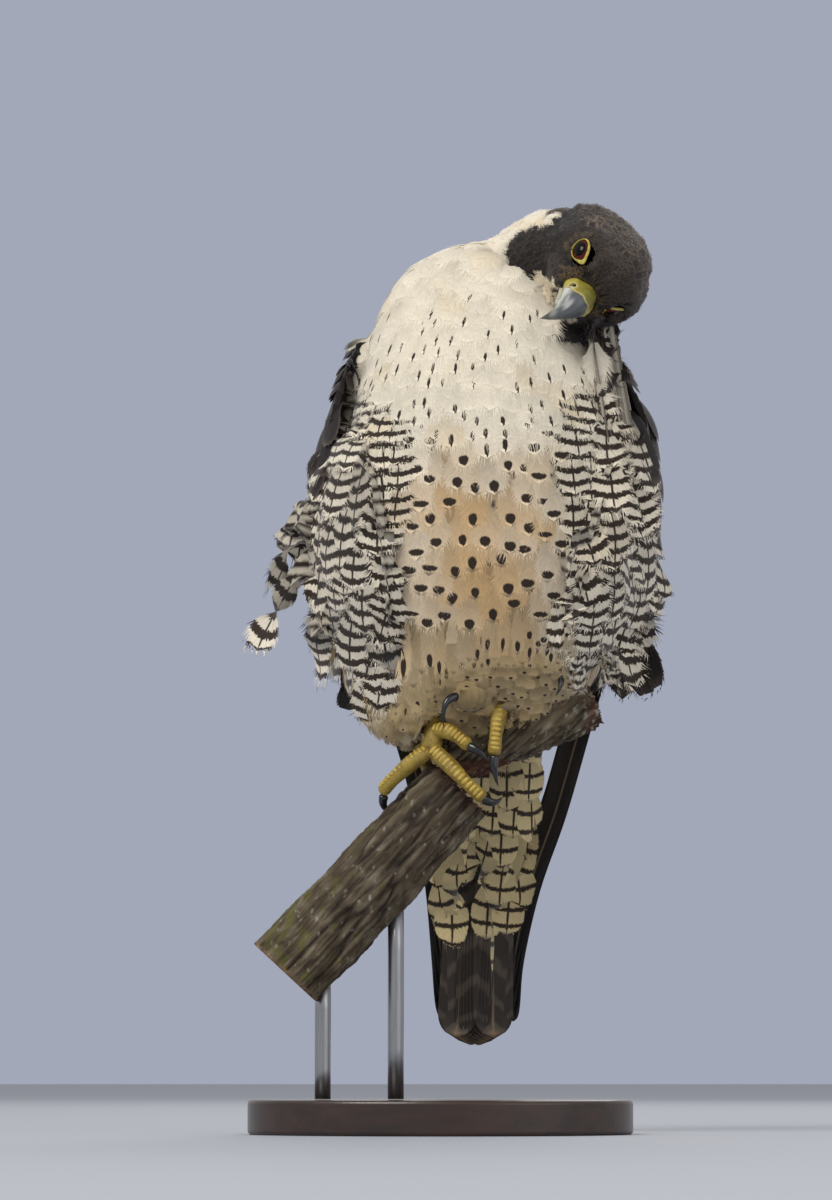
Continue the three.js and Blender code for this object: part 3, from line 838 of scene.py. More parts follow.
    def sides(self, ground: Ground, coat: Plumage) -> None:
        """Writes the barred flanks, the slate back with its pale fringes, the undertail coverts and wings."""
        _, y, z = ground.points.T
        facing, owner, noise, fine = ground.facing, ground.owner, ground.noise, ground.fine
        tone = coat.tone
        flank = np.char.startswith(owner, "flank")
        tone[flank] = blend(Palette.FLANK, Palette.BUFF, ramp(noise[flank], 0.1, 1) * 0.3)
        coat.put(flank, 40, 18, 6, (0, 0.95, 0))
        behind = (facing[:, 1] + 0.12 * fine > 0.3) & (y > 4 + 3 * fine) & (z > 215)
        tone[behind] = Palette.MANTLE
        coat.put(behind, 27, 16, 5, (0, 0.35, 0.5))
        vent = owner == "undertail_coverts"
        tone[vent] = Palette.VENT
        coat.put(vent, 31, 17, 2.4, (0, 0.36, 0))
        wing = np.char.startswith(owner, "wing")
        tone[wing] = blend(Palette.WING, Palette.MANTLE, ramp(facing[wing, 1], -0.1, 0.8) * 0.6)
        coat.put(wing, 26, 15, 3.6, (0, 0, 0.42))
        tall = ramp(350 - z[wing], 0, 60)
        coat.length[wing] += 20 * tall - 22 * ramp(self.LEGS_TOP - z[wing], 0, 30)
        coat.width[wing] += 3 * tall

    @staticmethod
    def shoulders(ground: Ground, coat: Plumage) -> None:
        """Writes the left moustache where it lies on the breast, and short feathers over both shoulders."""
        x, y, z = ground.points.T
        owner, fine, tone = ground.owner, ground.fine, coat.tone
        cheek = (np.abs(x - 72 - 2 * fine) < 15) & (np.abs(z - 402 - 2 * fine) < 9)
        cheek &= (y < -14) & (owner != "head")
        tone[cheek] = Palette.MOUSTACHE
        coat.put(cheek, 9, 5, 3.5, (0, 0, 0))
        shoulder = np.isin(owner, ("trunk", "neck", "wing_left")) & (x > 73 + 0.4 * (400 - z))
        shoulder &= (z > 376) & (y < 20)
        right = np.isin(owner, ("trunk", "wing_right")) & (x < -40) & (z > 374) & (z < 402)
        coat.put(shoulder | right, 10, 7.5, 3.2, (0, 0, 0.4))
        tone[shoulder & (z < 399 + 2 * fine)] = Palette.WING

    @staticmethod
    def head(ground: Ground, coat: Plumage) -> None:
        """Writes the hood, moustaches, cheeks and throat into the plumage.

        Args:
            ground: places on the skin.
            coat: the plumage, changed in place.
        """
        owner, fine, chance = ground.owner, ground.fine, ground.chance
        local = HEAD.inside(ground.points)
        ahead, left, up = local.T
        side = np.abs(left)
        near = (owner == "head") | (owner == "neck") & (up > -47)
        size = ramp(np.linalg.norm(local, axis=1), 24, 62)
        tone = coat.tone
        coat.put(near, 0, 0, 0, (0, 0, 0))
        coat.length[near] = (8.0 + 13 * size)[near]
        coat.width[near] = (5.2 + 6 * size)[near]
        coat.depth[near] = (2.4 + 3 * size)[near]
        tone[near] = blend(Palette.CREAM, Palette.BUFF, ramp(fine, -0.3, 1.0) * 0.6)[near]
        chin = near & (ahead > 6) & (side < 9) & (up > -32)
        tone[chin] = Palette.CHIN
        ragged = 1.7 * fine
        lower = -11 - 1.1 * np.clip(-12 - ahead, 0, 12) - 3 * np.clip(-24 - ahead, 0, 9)
        hood = near & (up > lower + ragged)
        rear = -2.7 + 1.3 * np.clip(-27 - up, 0, 9)
        front = 19 + 0.29 * (up + 10) - np.clip(-29 - up, 0, 6)
        moustache = near & (ahead > rear + ragged) & (ahead < front + ragged)
        moustache &= (up > -34.5 + ragged) & (up < -6) & (side > 8.5)
        tone[hood] = blend(Palette.HOOD, Palette.CROWN, ramp(up[hood] + 6 * fine[hood], 2, 16))
        coat.mark[hood, 2] = (0.15 + 0.75 * chance[hood]) * ramp(up[hood] + 5 * fine[hood], -4, 14)
        tone[moustache] = Palette.MOUSTACHE
        coat.put(moustache, 8, 4.6, 2.6, (0, 0, 0.12))
        streak = hood & (up > 5) & (up < 13) & (ahead < 8) & (ahead > -4) & (chance < 0.4)
        coat.mark[streak, 2] = 1.0
        face = near & (ahead > 12)
        coat.put(face & (side < 19), 5.2, 2.6, 1.4, (0, 0, 0.3))
        for sign in (-1, 1):
            off_axis = Eye(sign).split(local)[2]
            this_side = near & (left * sign > 0)
            coat.put(this_side & (off_axis < 10.5), 4.6, 2.6, 1.1, (0, 0, 0.1))
            tone[this_side & (off_axis < 7.2)] = Palette.ORBIT
        from_bill = np.hypot(left, up + 3)
        lore = near & (ahead > 17) & (up > -12) & (from_bill < 10.5 + ragged + 4 * (np.abs(up + 1) < 4))
        darker = ramp(fine[lore] + 0.08 * (up[lore] - 2), -0.1, 0.7) * 0.6
        tone[lore] = blend(Palette.LORE, Palette.HOOD, darker)
        tone[lore] = blend(tone[lore], Palette.HOOD, 0.6 * chance[lore])
        coat.put(lore, 5.6, 0.75, 1.2, (0, 0, 0))


# Feathers


@dataclass(frozen=True)
class VaneCut:
    """How a feather is cut: a closed vane with a fringe of loose barb tips round its edge."""

    hairs: int  # loose barb tips on each side
    fringe: float  # their length as a share of the feather's
    hair: float  # their width at the root as a share of the feather's half-width
    rows: int = 7
    slim: float = 0.0  # how much narrower than an oval the vane is
    closed_part: float = 0.7  # how much of the fringe's length the vane gives up to it
    lowest_hair: float = 0.28  # where the fringe starts along the vane

    def outline(self, v: Array) -> Array:
        """Returns the closed vane's half-width along the feather, as a share of its greatest."""
        end = 1 - self.fringe * self.closed_part
        rise = 0.34 + 0.66 * np.sin(np.pi / 2 * np.clip(v / (0.55 * end), 0, 1))
        fall = np.sqrt(np.clip(1 - np.clip((v / end - 0.55) / 0.45, 0, 1) ** 2.3, 0, 1))
        return rise * fall * (1 - self.slim)

    def template(self, rng: np.random.Generator, aspect: float) -> tuple[Array, Array, Array, Array]:
        """Lays out one feather.

        Args:
            rng: the source of the hairs' small differences.
            aspect: the feather's length over its half-width.

        Returns:
            u from -1 to 1 across the vane, v from 0 to 1 along it, u over the outline's u, and triangles.
        """
        end = 1 - self.fringe * self.closed_part
        v_rows = end * np.linspace(0, 1, self.rows + 1) ** 0.85
        shares = np.array([-1, -0.5, 0, 0.5, 1])
        half = self.outline(v_rows)
        u = (half[:, None] * shares).ravel()
        v = np.repeat(v_rows, len(shares))
        inner = np.tile(shares, len(v_rows)).astype(float)
        grid = quads(len(v_rows), len(shares), closed=False)
        faces = [t for a, b, c, d in grid for t in ((a, b, c), (a, c, d))]
        fringed = 1 - self.lowest_hair
        place = self.lowest_hair + fringed * (np.arange(self.hairs) + 0.5) / self.hairs
        for sign in (-1, 1):
            for share in np.clip(place + rng.normal(0, 0.012, self.hairs), 0.2, 1.0):
                base_v = end * share
                base_u = sign * float(self.outline(np.array([base_v]))[0]) * 0.97
                splay = 52 * (1 - ((share - self.lowest_hair) / fringed) ** 1.6)
                turn = math.radians(splay + rng.normal(2, 8)) * sign
                reach = self.fringe * rng.uniform(0.55, 1.25) * (0.55 + 0.45 * share)
                tip = (base_u + math.sin(turn) * reach * aspect, base_v + math.cos(turn) * reach)
                step = (math.cos(turn) * self.hair * 0.5, -math.sin(turn) * self.hair * 0.5 / aspect)
                first = len(u)
                u = np.append(u, [base_u - step[0], base_u + step[0], tip[0]])
                v = np.append(v, [base_v - step[1], base_v + step[1], tip[1]])
                inner = np.append(inner, [sign * 0.97, sign * 0.97, sign * 1.06])
                faces.append((first, first + 1, first + 2))
        return u, v, inner, np.array(faces)


@dataclass
class FeatherBed:
    """Feathers of one cut, laid along lines."""

    cut: VaneCut
    lines: Array  # feathers, 4 places along each, xyz
    up: Array  # the same, directions away from the body
    coat: Plumage
    root_uv: Array
    camber: float = 0.3
    kinds: int = 5

    def shape(self, rng: np.random.Generator) -> Shape:
        """Returns all the feathers as one shape."""
        kind = rng.integers(0, self.kinds, len(self.lines))
        aspect = float(np.mean(self.coat.length / self.coat.width) * 2)
        return stacked([self.cast(kind == k, aspect, rng) for k in range(self.kinds) if (kind == k).any()])

    def cast(self, which: Array, aspect: float, rng: np.random.Generator) -> Shape:
        """Returns the feathers that share one template."""
        u, v, inner, faces = self.cut.template(rng, aspect)
        lines, coat = self.lines[which], self.coat.rows(which)
        centre = np.einsum("mk,nkc->nmc", self.basis(v), lines)
        up = unit(np.einsum("mk,nkc->nmc", self.basis(np.clip(v, 0, 1)), self.up[which]))
        way = unit(np.einsum("mk,nkc->nmc", self.basis(v + 0.02) - self.basis(v - 0.02), lines))
        across = unit(np.cross(way, up))
        half = (coat.width / 2)[:, None, None]
        bow = self.camber * half * (u**2)[None, :, None]
        loose = np.abs(inner) > 1.0
        points = centre + across * half * u[None, :, None] - up * bow
        points += up * (rng.normal(0, 0.06, (*points.shape[:2], 1)) + 0.04) * half * loose[None, :, None]
        count, size = points.shape[:2]
        vane = np.broadcast_to(np.stack([(inner + 1) / 2, v], -1), (count, size, 2))
        patch = np.stack([(inner + 1) / 2 - 0.5, v - 0.5], -1)
        bake = self.root_uv[which][:, None] + BAKE_PATCH * patch[None]
        facing = unit(up + across * (u * (0.06 + 0.6 * self.camber))[None, :, None] + way * 0.05)
        return Shape(
            points.reshape(-1, 3),
            (faces[None] + np.arange(count)[:, None, None] * size).reshape(-1, 3),
            vane.reshape(-1, 2),
            np.repeat(coat.tone, size, axis=0),
            np.clip(bake.reshape(-1, 2), 0, 1),
            np.repeat(coat.mark, size, axis=0),
            facing.reshape(-1, 3),
        )

    @staticmethod
    def basis(v: Array) -> Array:
        """Returns the weights of the four places of a line at each v, going straight on past its end."""
        knots = np.array([0, 1 / 3, 2 / 3, 1])
        past = np.clip(v - 1, 0, None)[:, None]
        held = np.clip(v, None, 1)[:, None]
        others = [np.delete(knots, k) for k in range(4)]
        weights = [np.prod((held - rest) / (knot - rest), axis=1) for knot, rest in zip(knots, others)]
        return np.stack(weights, 1) + past * np.array([0, 0, -3.0, 3.0])


@dataclass(frozen=True)
class Lie:
    """A place with the direction that the feathers round it lie in."""

    x: float
    y: float
    z: float
    towards: tuple[float, float, float]
    reach: float = 45.0


class Flow:
    """The lie of the coat, mixed from a few places with known directions."""

    BODY = [
        Lie(20, -60, 400, (0, 0, -1)),
        Lie(20, -70, 320, (0, 0, -1)),
        Lie(20, -60, 240, (0, 0.1, -1)),
        Lie(-30, -40, 405, (-0.25, 0, -1)),
        Lie(65, -40, 395, (0.25, 0, -1)),
        Lie(-50, 0, 340, (-0.12, 0.2, -1)),
        Lie(92, 0, 340, (0.12, 0.2, -1)),
        Lie(-65, -10, 280, (-0.22, 0.2, -1)),
        Lie(100, -10, 280, (0.12, 0.2, -1)),
        Lie(-40, -10, 225, (-0.15, 0.1, -1)),
        Lie(60, -10, 235, (-0.1, 0.1, -1)),
        Lie(20, 20, 205, (0, 0.55, -1)),
        Lie(20, 62, 400, (0, 0.35, -1)),
        Lie(20, 75, 320, (0, 0.1, -1)),
        Lie(20, 75, 240, (0, 0.1, -1)),
        Lie(5, -30, 438, (-0.9, -0.35, -0.5), 26),
        Lie(15, 10, 445, (-0.8, 0.6, -0.2), 26),
        Lie(35, -30, 425, (-0.75, -0.2, -0.65), 26),
        Lie(45, 0, 455, (-0.9, 0.35, -0.25), 24),
        Lie(60, 10, 410, (-0.2, 0.6, -0.7), 26),
        Lie(70, -25, 395, (0.1, 0.3, -1), 20),
    ]

    def at(self, points: Array, owner: Array) -> Array:
        """Returns the direction of the coat at each place of the skin.

        Args:
            points: places on the skin.
            owner: the node that each place belongs to.

        Returns:
            Unit vectors, which the first part of each feather follows as far as the skin lets it.
        """
        total = np.zeros_like(points)
        for lie in self.BODY:
            away = np.sum((points - [lie.x, lie.y, lie.z]) ** 2, axis=1)
            total += unit(np.array(lie.towards))[None] * np.exp(-away / (2 * lie.reach**2))[:, None]
        local = HEAD.inside(points)
        backwards = np.tile([-1.0, 0, 0], (len(points), 1))
        cheek = ramp(-local[:, 2], -4, 14)[:, None]
        backwards += (np.sign(local[:, 1:2]) * [0, 0.25, 0] + [0, 0, -0.5]) * cheek
        front = ramp(local[:, 0], 12, 21)[:, None]
        backwards = backwards * (1 - front) + unit(local - np.array([32.0, 0, -5])) * front
        for sign in (-1, 1):
            eye = Eye(sign)
            _, radial, distance = eye.split(local)
            radial = unit(radial)
            inward = np.minimum(np.sum(backwards * radial, axis=1, keepdims=True), 0)
            close = (1 - ramp(distance, 9, 15))[:, None] * (np.sign(local[:, 1:2]) == sign)
            over = eye.up * np.where((local - eye.middle) @ eye.up > -1, 1, -1)[:, None]
            backwards += close * (radial * (0.35 - inward) + over * 0.4 * (inward < -0.4))
        share = (owner == "head").astype(float) + (owner == "neck") * (1 - ramp(-local[:, 2], 24, 44))
        total = unit(total) * (1 - share[:, None]) + unit(HEAD.turned(backwards)) * share[:, None]
        total[np.char.startswith(owner, "wing")] = unit(np.array([0, 0.16, -1.0]))
        total[owner == "undertail_coverts"] = unit(np.array([-0.04, 0.36, -1.0]))
        return unit(total)


@dataclass(frozen=True)
class Eye:
    """Where one eye sits in the head and which way it looks."""

    sign: int
    radius: float = 9.0
    opening: float = 5.7
    pupil: float = 4.3
    iris: float = 5.6
    narrow: float = 0.84  # the opening's height as a share of its length
    sunk: float = 2.4  # how much deeper the left one lies

    @property
    def middle(self) -> Array:
        """Returns the middle of the eyeball, in the head's own axes."""
        return np.array([9.5, 12.9 * self.sign, 5.2]) - self.look * (self.sunk if self.sign > 0 else 0.0)

    @property
    def look(self) -> Array:
        """Returns the direction in which it looks."""
        return unit(np.array([0.5, 0.86 * self.sign, -0.1]))

    @property
    def ahead(self) -> Array:
        """Returns the direction across it towards the bill."""
        return unit(X_AXIS - self.look * self.look[0])

    @property
    def up(self) -> Array:
        """Returns the direction across it towards the crown."""
        return np.cross(self.look, self.ahead) * self.sign

    def split(self, local: Array) -> tuple[Array, Array, Array]:
        """Splits the way from the eye's middle to places in the head by the direction in which the eye looks.

        Args:
            local: the places, in the head's own axes.

        Returns:
            How far each lies along the look, the rest of the way to it, and how long that rest is.
        """
        offset = local - self.middle
        along = offset @ self.look
        radial = offset - self.look * along[:, None]
        return along, radial, np.linalg.norm(radial, axis=1)

    def bedded(self, local: Array) -> Array:
        """Fits the head's skin to the eye: low close round it, under a brow, but never far below its ring."""
        along, radial, distance = self.split(local)
        brow = np.clip(unit(radial) @ self.up, 0, 1)
        limit = 7.0 + np.clip(distance - 5.8, 0, None) * (0.5 + 0.4 * brow)
        press = np.where((distance < 15) & (along > 0), np.maximum(along - limit, 0), 0)
        least = 6.8 - np.clip(distance - 7.2, 0, None) * 0.65
        drawn = np.where((distance < 14) & (along > -3), np.maximum(least - along, 0), 0)
        return local + self.look * (drawn - press)[:, None]


SOFT = FeatherVane("soft_contour_feathers", 0.85, 0.2, bars=4.6)
BARRED = FeatherVane("barred_flank_feathers", 0.8, 0.2, bars=5.4)
FIRM = FeatherVane("firm_wing_coverts", 0.5, 0.06, silk=0.2, bars=3.0)
SCALY = FeatherVane("scaly_head_feathers", 0.7, 0.15, edge="#77685b", silk=0.25, rim=0.62)
VENT = FeatherVane("vent_feathers", 0.8, 0.2, silk=0.1, bars=3.3)
SCALP_CUT = VaneCut(10, 0.36, 0.22, 4)
NECK_CUT = VaneCut(20, 0.26, 0.13, 5)
BREAST_CUT = VaneCut(40, 0.3, 0.07)
BELLY_CUT = VaneCut(34, 0.2, 0.08)
FLANK_CUT = VaneCut(40, 0.13, 0.08, 10)
THIGH_CUT = VaneCut(30, 0.3, 0.12, 6, 0.45)
VENT_CUT = VaneCut(24, 0.03, 0.08, 10)
WING_CUT = VaneCut(24, 0.05, 0.08, 9)
FLANK_LIE = {"squash": 0.6, "spacing": 0.6, "pitch": FLANK_PITCH, "camber": 0.16}
VENT_LIE = {"squash": 0.4, "spacing": 0.5, "pitch": 9.5, "loose": (0.5, 4.0), "camber": 0.2}
WAIST = 352.0  # the height at which the breast's piece ends and the belly's begins
TOP = 600.0  # over everything


@dataclass(frozen=True)
class Patch:
    """A part of the coat that is made as one piece, named coat_ and its name."""

    name: str
    owners: tuple[str, ...]
    cut: VaneCut
    slot: str
    finish: FeatherVane
    squash: float = 0.8  # how much closer its rows may lie along the body than across it
    spacing: float = 0.58  # as a share of a feather's width
    heights: tuple[float, float] = (0.0, TOP)
    pitch: float = SKIN_PITCH  # millimetres from one dark bar to the next
    loose: tuple[float, float] = (6.0, 16.0)  # how far off the skin a feather starts to leave it, and is free
    camber: float = 0.08  # how far the edges of a vane bend down, as a share of its half-width


@dataclass
class Bird:
    """The falcon's body: one skin, and the feathers that grow from it."""

    FLESH = ["trunk", "neck", "head", "flank_right", "flank_left", "thigh_right", "thigh_left"]
    FLESH += ["wing_right", "wing_left", "undertail_coverts"]
    PATCHES = [
        Patch("head", ("head",), SCALP_CUT, "head_feathers", SCALY, 1.0, 0.48, camber=0.25),
        Patch("neck", ("neck",), NECK_CUT, "breast_feathers", SOFT, 1.0, 0.46),
        Patch("breast", ("trunk",), BREAST_CUT, "breast_feathers", SOFT, 0.85, 0.5, (WAIST, TOP)),
        Patch("belly", ("trunk",), BELLY_CUT, "breast_feathers", SOFT, 0.72, 0.66, (0.0, WAIST)),
        Patch("flank_right", ("flank_right",), FLANK_CUT, "barred_feathers", BARRED, **FLANK_LIE),
        Patch("flank_left", ("flank_left",), FLANK_CUT, "barred_feathers", BARRED, **FLANK_LIE),
        Patch("thighs", ("thigh_right", "thigh_left"), THIGH_CUT, "barred_feathers", SOFT, 0.6, 0.7),
        Patch("vent", ("undertail_coverts",), VENT_CUT, "barred_feathers", VENT, **VENT_LIE),
        Patch("wing_right", ("wing_right",), WING_CUT, "wing_feathers", FIRM, 0.62, camber=0.3),
        Patch("wing_left", ("wing_left",), WING_CUT, "wing_feathers", FIRM, 0.62, camber=0.3),
    ]

    # x, and the height of the feathers' lower edge there
    HEM = [(-45, 200), (-25, 196), (-8, 208), (4, 223), (20, 228), (40, 229), (56, 229), (80, 216)]
    SKIN_SEED, SIZE_SEED, COAT_SEED = 1, 2, 5

    nodes: dict[str, Object]
    voxel: float = 1.8
    swelling: float = 0.0004  # metres that the solids grow by before they are melted together
    candidates: int = 130000  # places tried as roots
    head_reach: float = 46.0  # from the head's middle: within this, places are tried more closely
    head_crowding: float = 5.0
    root_depth: float = 0.6  # how far under the skin a feather starts
    slim_width: float = 5.5  # widest feather near the hem
    slim_band: float = 30.0  # how far over the hem the slim feathers reach
    front_top: float = 290.0  # only below this does the hem shorten the feathers
    crown: tuple[float, float, float] = (-2.0, 14.0, 22.0)  # in the head, where its feathers stand up
    crown_reach: float = 15.0
    fluff: float = 3.4  # how far they stand out there

    def __post_init__(self) -> None:
        """Works out the markings and starts the random numbers."""
        self.markings = Markings(self.nodes)
        self.rng = np.random.default_rng(SEED)

    def solids(self) -> list[Shape]:
        """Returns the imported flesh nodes, a little swollen so that they overlap."""
        shapes = []
        for name in self.FLESH:
            work = bmesh.new()
            work.from_mesh(self.nodes[name].data)
            bmesh.ops.remove_doubles(work, verts=work.verts, dist=1e-6)
            work.normal_update()
            points = np.array([(v.co + v.normal * self.swelling)[:] for v in work.verts]) / MM
            shapes.append(Shape(points, [tuple(v.index for v in f.verts) for f in work.faces]))
            work.free()
        return shapes

    def build(self) -> None:
        """Makes the skin and every coat."""
        skin = fused("skin", self.solids(), self.voxel, 3)
        points, facing = coordinates(skin.data), normals(skin.data)
        owner = self.markings.owners(points)
        coat = self.markings.at(points, facing, owner, np.random.default_rng(self.SKIN_SEED))
        points -= facing * self.spread(skin.data, coat.depth, 6)[:, None]
        local = HEAD.inside(points)
        for sign in (-1, 1):
            local = Eye(sign).bedded(local)
        points = HEAD.outside(local)
        moved(skin.data, points)
        smooth = skin.modifiers.new("smooth", "SMOOTH")
        smooth.iterations = 2
        settled(skin)
        bars = ramp(np.cos(2 * np.pi * points[:, 2] / SKIN_PITCH), 0.1, 0.5) * (coat.mark[:, 1] > 0.5)
        blots = ramp(wobble(points, 7, 61), 0.35, 0.55) * (coat.mark[:, 0] > 0.4)
        paint(skin.data, "tone", blend(coat.tone * 0.9, linear(BAR_HEX), np.maximum(bars, blots)))
        paint(skin.data, "mark", np.zeros((len(points), 3)))
        skin.data.materials.append(FeatherVane("down_under_feathers", 0.9, 0.2).made())
        self.unwrap(skin)
        self.feathers(skin)
        placed(skin, "breast_feathers", *self.FLESH)

    @staticmethod
    def spread(mesh: Mesh, values: Array, times: int) -> Array:
        """Evens a value out over a mesh, by the mean of neighbours, a number of times."""
        pairs = np.zeros(len(mesh.edges) * 2, np.int32)
        mesh.edges.foreach_get("vertices", pairs)
        first, second = pairs.reshape(-1, 2).T
        for _ in range(times):
            total = values.copy()
            count = np.ones(len(values))
            np.add.at(total, first, values[second])
            np.add.at(total, second, values[first])
            np.add.at(count, first, 1)
            np.add.at(count, second, 1)
            values = total / count
        return values

    @staticmethod
    def unwrap(skin: Object) -> None:
        """Lays the skin's own surface out flat as the UV map OFBake."""
        skin.data.uv_layers.new(name="OFBake")
        bpy.context.view_layer.objects.active = skin
        skin.select_set(True)
        bpy.ops.object.mode_set(mode="EDIT")
        bpy.ops.mesh.select_all(action="SELECT")
        bpy.ops.uv.smart_project(angle_limit=math.radians(66), island_margin=0.004)
        bpy.ops.object.mode_set(mode="OBJECT")

    def roots(self, skin: Object) -> tuple[Array, Array, Array]:
        """Scatters places evenly over the skin, many more than there are feathers.

        Args:
            skin: the skin's object.

        Returns:
            Places, directions, and places on the unwrap.
        """
        mesh = skin.data
        mesh.calc_loop_triangles()
        count = len(mesh.loop_triangles)
        loops = np.zeros(count * 3, np.int32)
        mesh.loop_triangles.foreach_get("loops", loops)
        loops = loops.reshape(-1, 3)
        vertex_of = np.zeros(len(mesh.loops), np.int32)
        mesh.loops.foreach_get("vertex_index", vertex_of)
        uv = np.zeros(len(mesh.loops) * 2, np.float32)
        mesh.uv_layers["OFBake"].data.foreach_get("uv", uv)
        points, facing, corner = coordinates(mesh), normals(mesh), vertex_of[loops]
        a, b, c = (points[corner[:, k]] for k in range(3))
        area = np.linalg.norm(np.cross(b - a, c - a), axis=1)
        area *= np.where(np.linalg.norm(HEAD.inside(a), axis=1) < self.head_reach, self.head_crowding, 1)
        chosen = self.rng.choice(count, size=self.candidates, p=area / area.sum())
        r1, r2 = np.sqrt(self.rng.random(len(chosen))), self.rng.random(len(chosen))
        weight = np.stack([1 - r1, r1 * (1 - r2), r1 * r2], 1)
        place = np.einsum("nk,nkc->nc", weight, points[corner[chosen]])
        way = unit(np.einsum("nk,nkc->nc", weight, facing[corner[chosen]]))
        return place, way, np.einsum("nk,nkc->nc", weight, uv.reshape(-1, 2)[loops[chosen]])

    def thinned(self, place: Array, spacing: Array) -> Array:
        """Returns which places to keep so that none is nearer to another than its spacing."""
        cell = float(spacing.max())
        grid: dict[tuple[int, ...], list[int]] = {}
        kept: list[int] = []
        keys = np.floor(place / cell).astype(int).tolist()
        order = np.argsort(spacing + self.rng.random(len(spacing)) * 2)
        rows = place.tolist()
        around = [(i, j, k) for i in (-1, 0, 1) for j in (-1, 0, 1) for k in (-1, 0, 1)]
        for index in order.tolist():
            x, y, z = rows[index]
            limit = spacing[index] ** 2
            a, b, c = keys[index]
            near = (rows[o] for i, j, k in around for o in grid.get((a + i, b + j, c + k), ()))
            if all((p[0] - x) ** 2 + (p[1] - y) ** 2 + (p[2] - z) ** 2 >= limit for p in near):
                grid.setdefault((a, b, c), []).append(index)
                kept.append(index)
        return np.array(kept, int)

    @staticmethod
    def bare(place: Array) -> Array:
        """Returns which places carry no feathers: under the lids and under the cere."""
        local = HEAD.inside(place)
        x, y, z = local.T
        hidden = (x > 21.5 + 0.1 * np.abs(y)) & (np.abs(y) < 8.8) & (z > -15) & (z < 5.5)
        for sign in (-1, 1):
            eye = Eye(sign)
            along, radial, _ = eye.split(local)
            corner = 1.2 * np.clip(unit(radial) @ eye.ahead, 0, 1) ** 4
            radial += eye.up * (radial @ eye.up / eye.narrow - radial @ eye.up)[:, None]
            hidden |= (along > 0) & (np.linalg.norm(radial, axis=1) < 5.0 + corner)
        return hidden

    @staticmethod
    def hem(x: Array) -> Array:
        """Returns the height above the perch at which the feathers round the legs end."""
        return np.interp(x, *np.transpose(Bird.HEM))

    def feathers(self, skin: Object) -> None:
        """Grows every small feather from the skin, in a few pieces."""
        place, facing, flat = self.roots(skin)
        covered = ~self.bare(place)
        place, facing, flat = place[covered], facing[covered], flat[covered]
        owner = self.markings.owners(place)
        sizes = self.markings.at(place, facing, owner, np.random.default_rng(self.SIZE_SEED))
        tree = BVHTree.FromObject(skin, bpy.context.evaluated_depsgraph_get())
        points = coordinates(skin.data)
        gap = self.spread(skin.data, np.clip(self.markings.reach(points, normals(skin.data)), 0.9, 8), 3)
        finishes = {patch.finish: patch.finish.made() for patch in self.PATCHES}
        for patch in self.PATCHES:
            low, high = patch.heights
            level = (place[:, 2] >= low) & (place[:, 2] < high)
            chosen = np.flatnonzero(np.isin(owner, patch.owners) & level)
            front = (place[:, 1] < 8) & (place[:, 2] < self.front_top) & (owner != "undertail_coverts")
            slim = front & (place[:, 2] < self.hem(place[:, 0]) + self.slim_band)
            spacing = np.clip(np.where(slim, self.slim_width, sizes.width)[chosen] * patch.spacing, 0.85, 11)
            chosen = chosen[self.thinned(place[chosen] * [1, 1, patch.squash], spacing)]
            rng = np.random.default_rng(self.COAT_SEED)
            coat = self.markings.at(place[chosen], facing[chosen], owner[chosen], rng)
            lie = Flow().at(place[chosen], owner[chosen])
            steep = np.sum(lie * facing[chosen], axis=1)
            way = unit(lie - facing[chosen] * steep[:, None])
            turned = self.rng.normal(0, 0.06, len(way)) + 0.16 * wobble(place[chosen], 17, 51)
            way = unit(way + np.cross(facing[chosen], way) * turned[:, None])
            coat.length *= 1 - 0.6 * ramp(steep, 0.45, 0.9)
            full = np.maximum(coat.width, self.slim_width)
            coat.width *= np.where(slim[chosen], self.slim_width / full, 1)
            front = front[chosen]
            room = (place[chosen, 2] - self.hem(place[chosen, 0])) / np.clip(-way[:, 2], 0.3, 1)
            coat.length = np.where(front, np.clip(room, 5, coat.length), coat.length)
            roots = place[chosen], facing[chosen]
            lines, ups = self.laid(tree, skin.data, gap, *roots, way, lie, coat, patch.loose)
            height = lines[:, 2, 2] * 0.45 + lines[:, 3, 2] * 0.55  # where TIP_SHARE lies
            coat.mark[:, 3] = (self.rng.normal(0, PHASE_SPREAD, len(height)) - height / patch.pitch) % 1
            bed = FeatherBed(patch.cut, lines, ups, coat, flat[chosen], patch.camber)
            made = piece("coat_" + patch.name, bed.shape(self.rng), finishes[patch.finish])
            if patch.slot in ("breast_feathers", "barred_feathers"):
                made.visible_shadow = made.visible_diffuse = False  # thin pale vanes let light through
            placed(made, patch.slot)

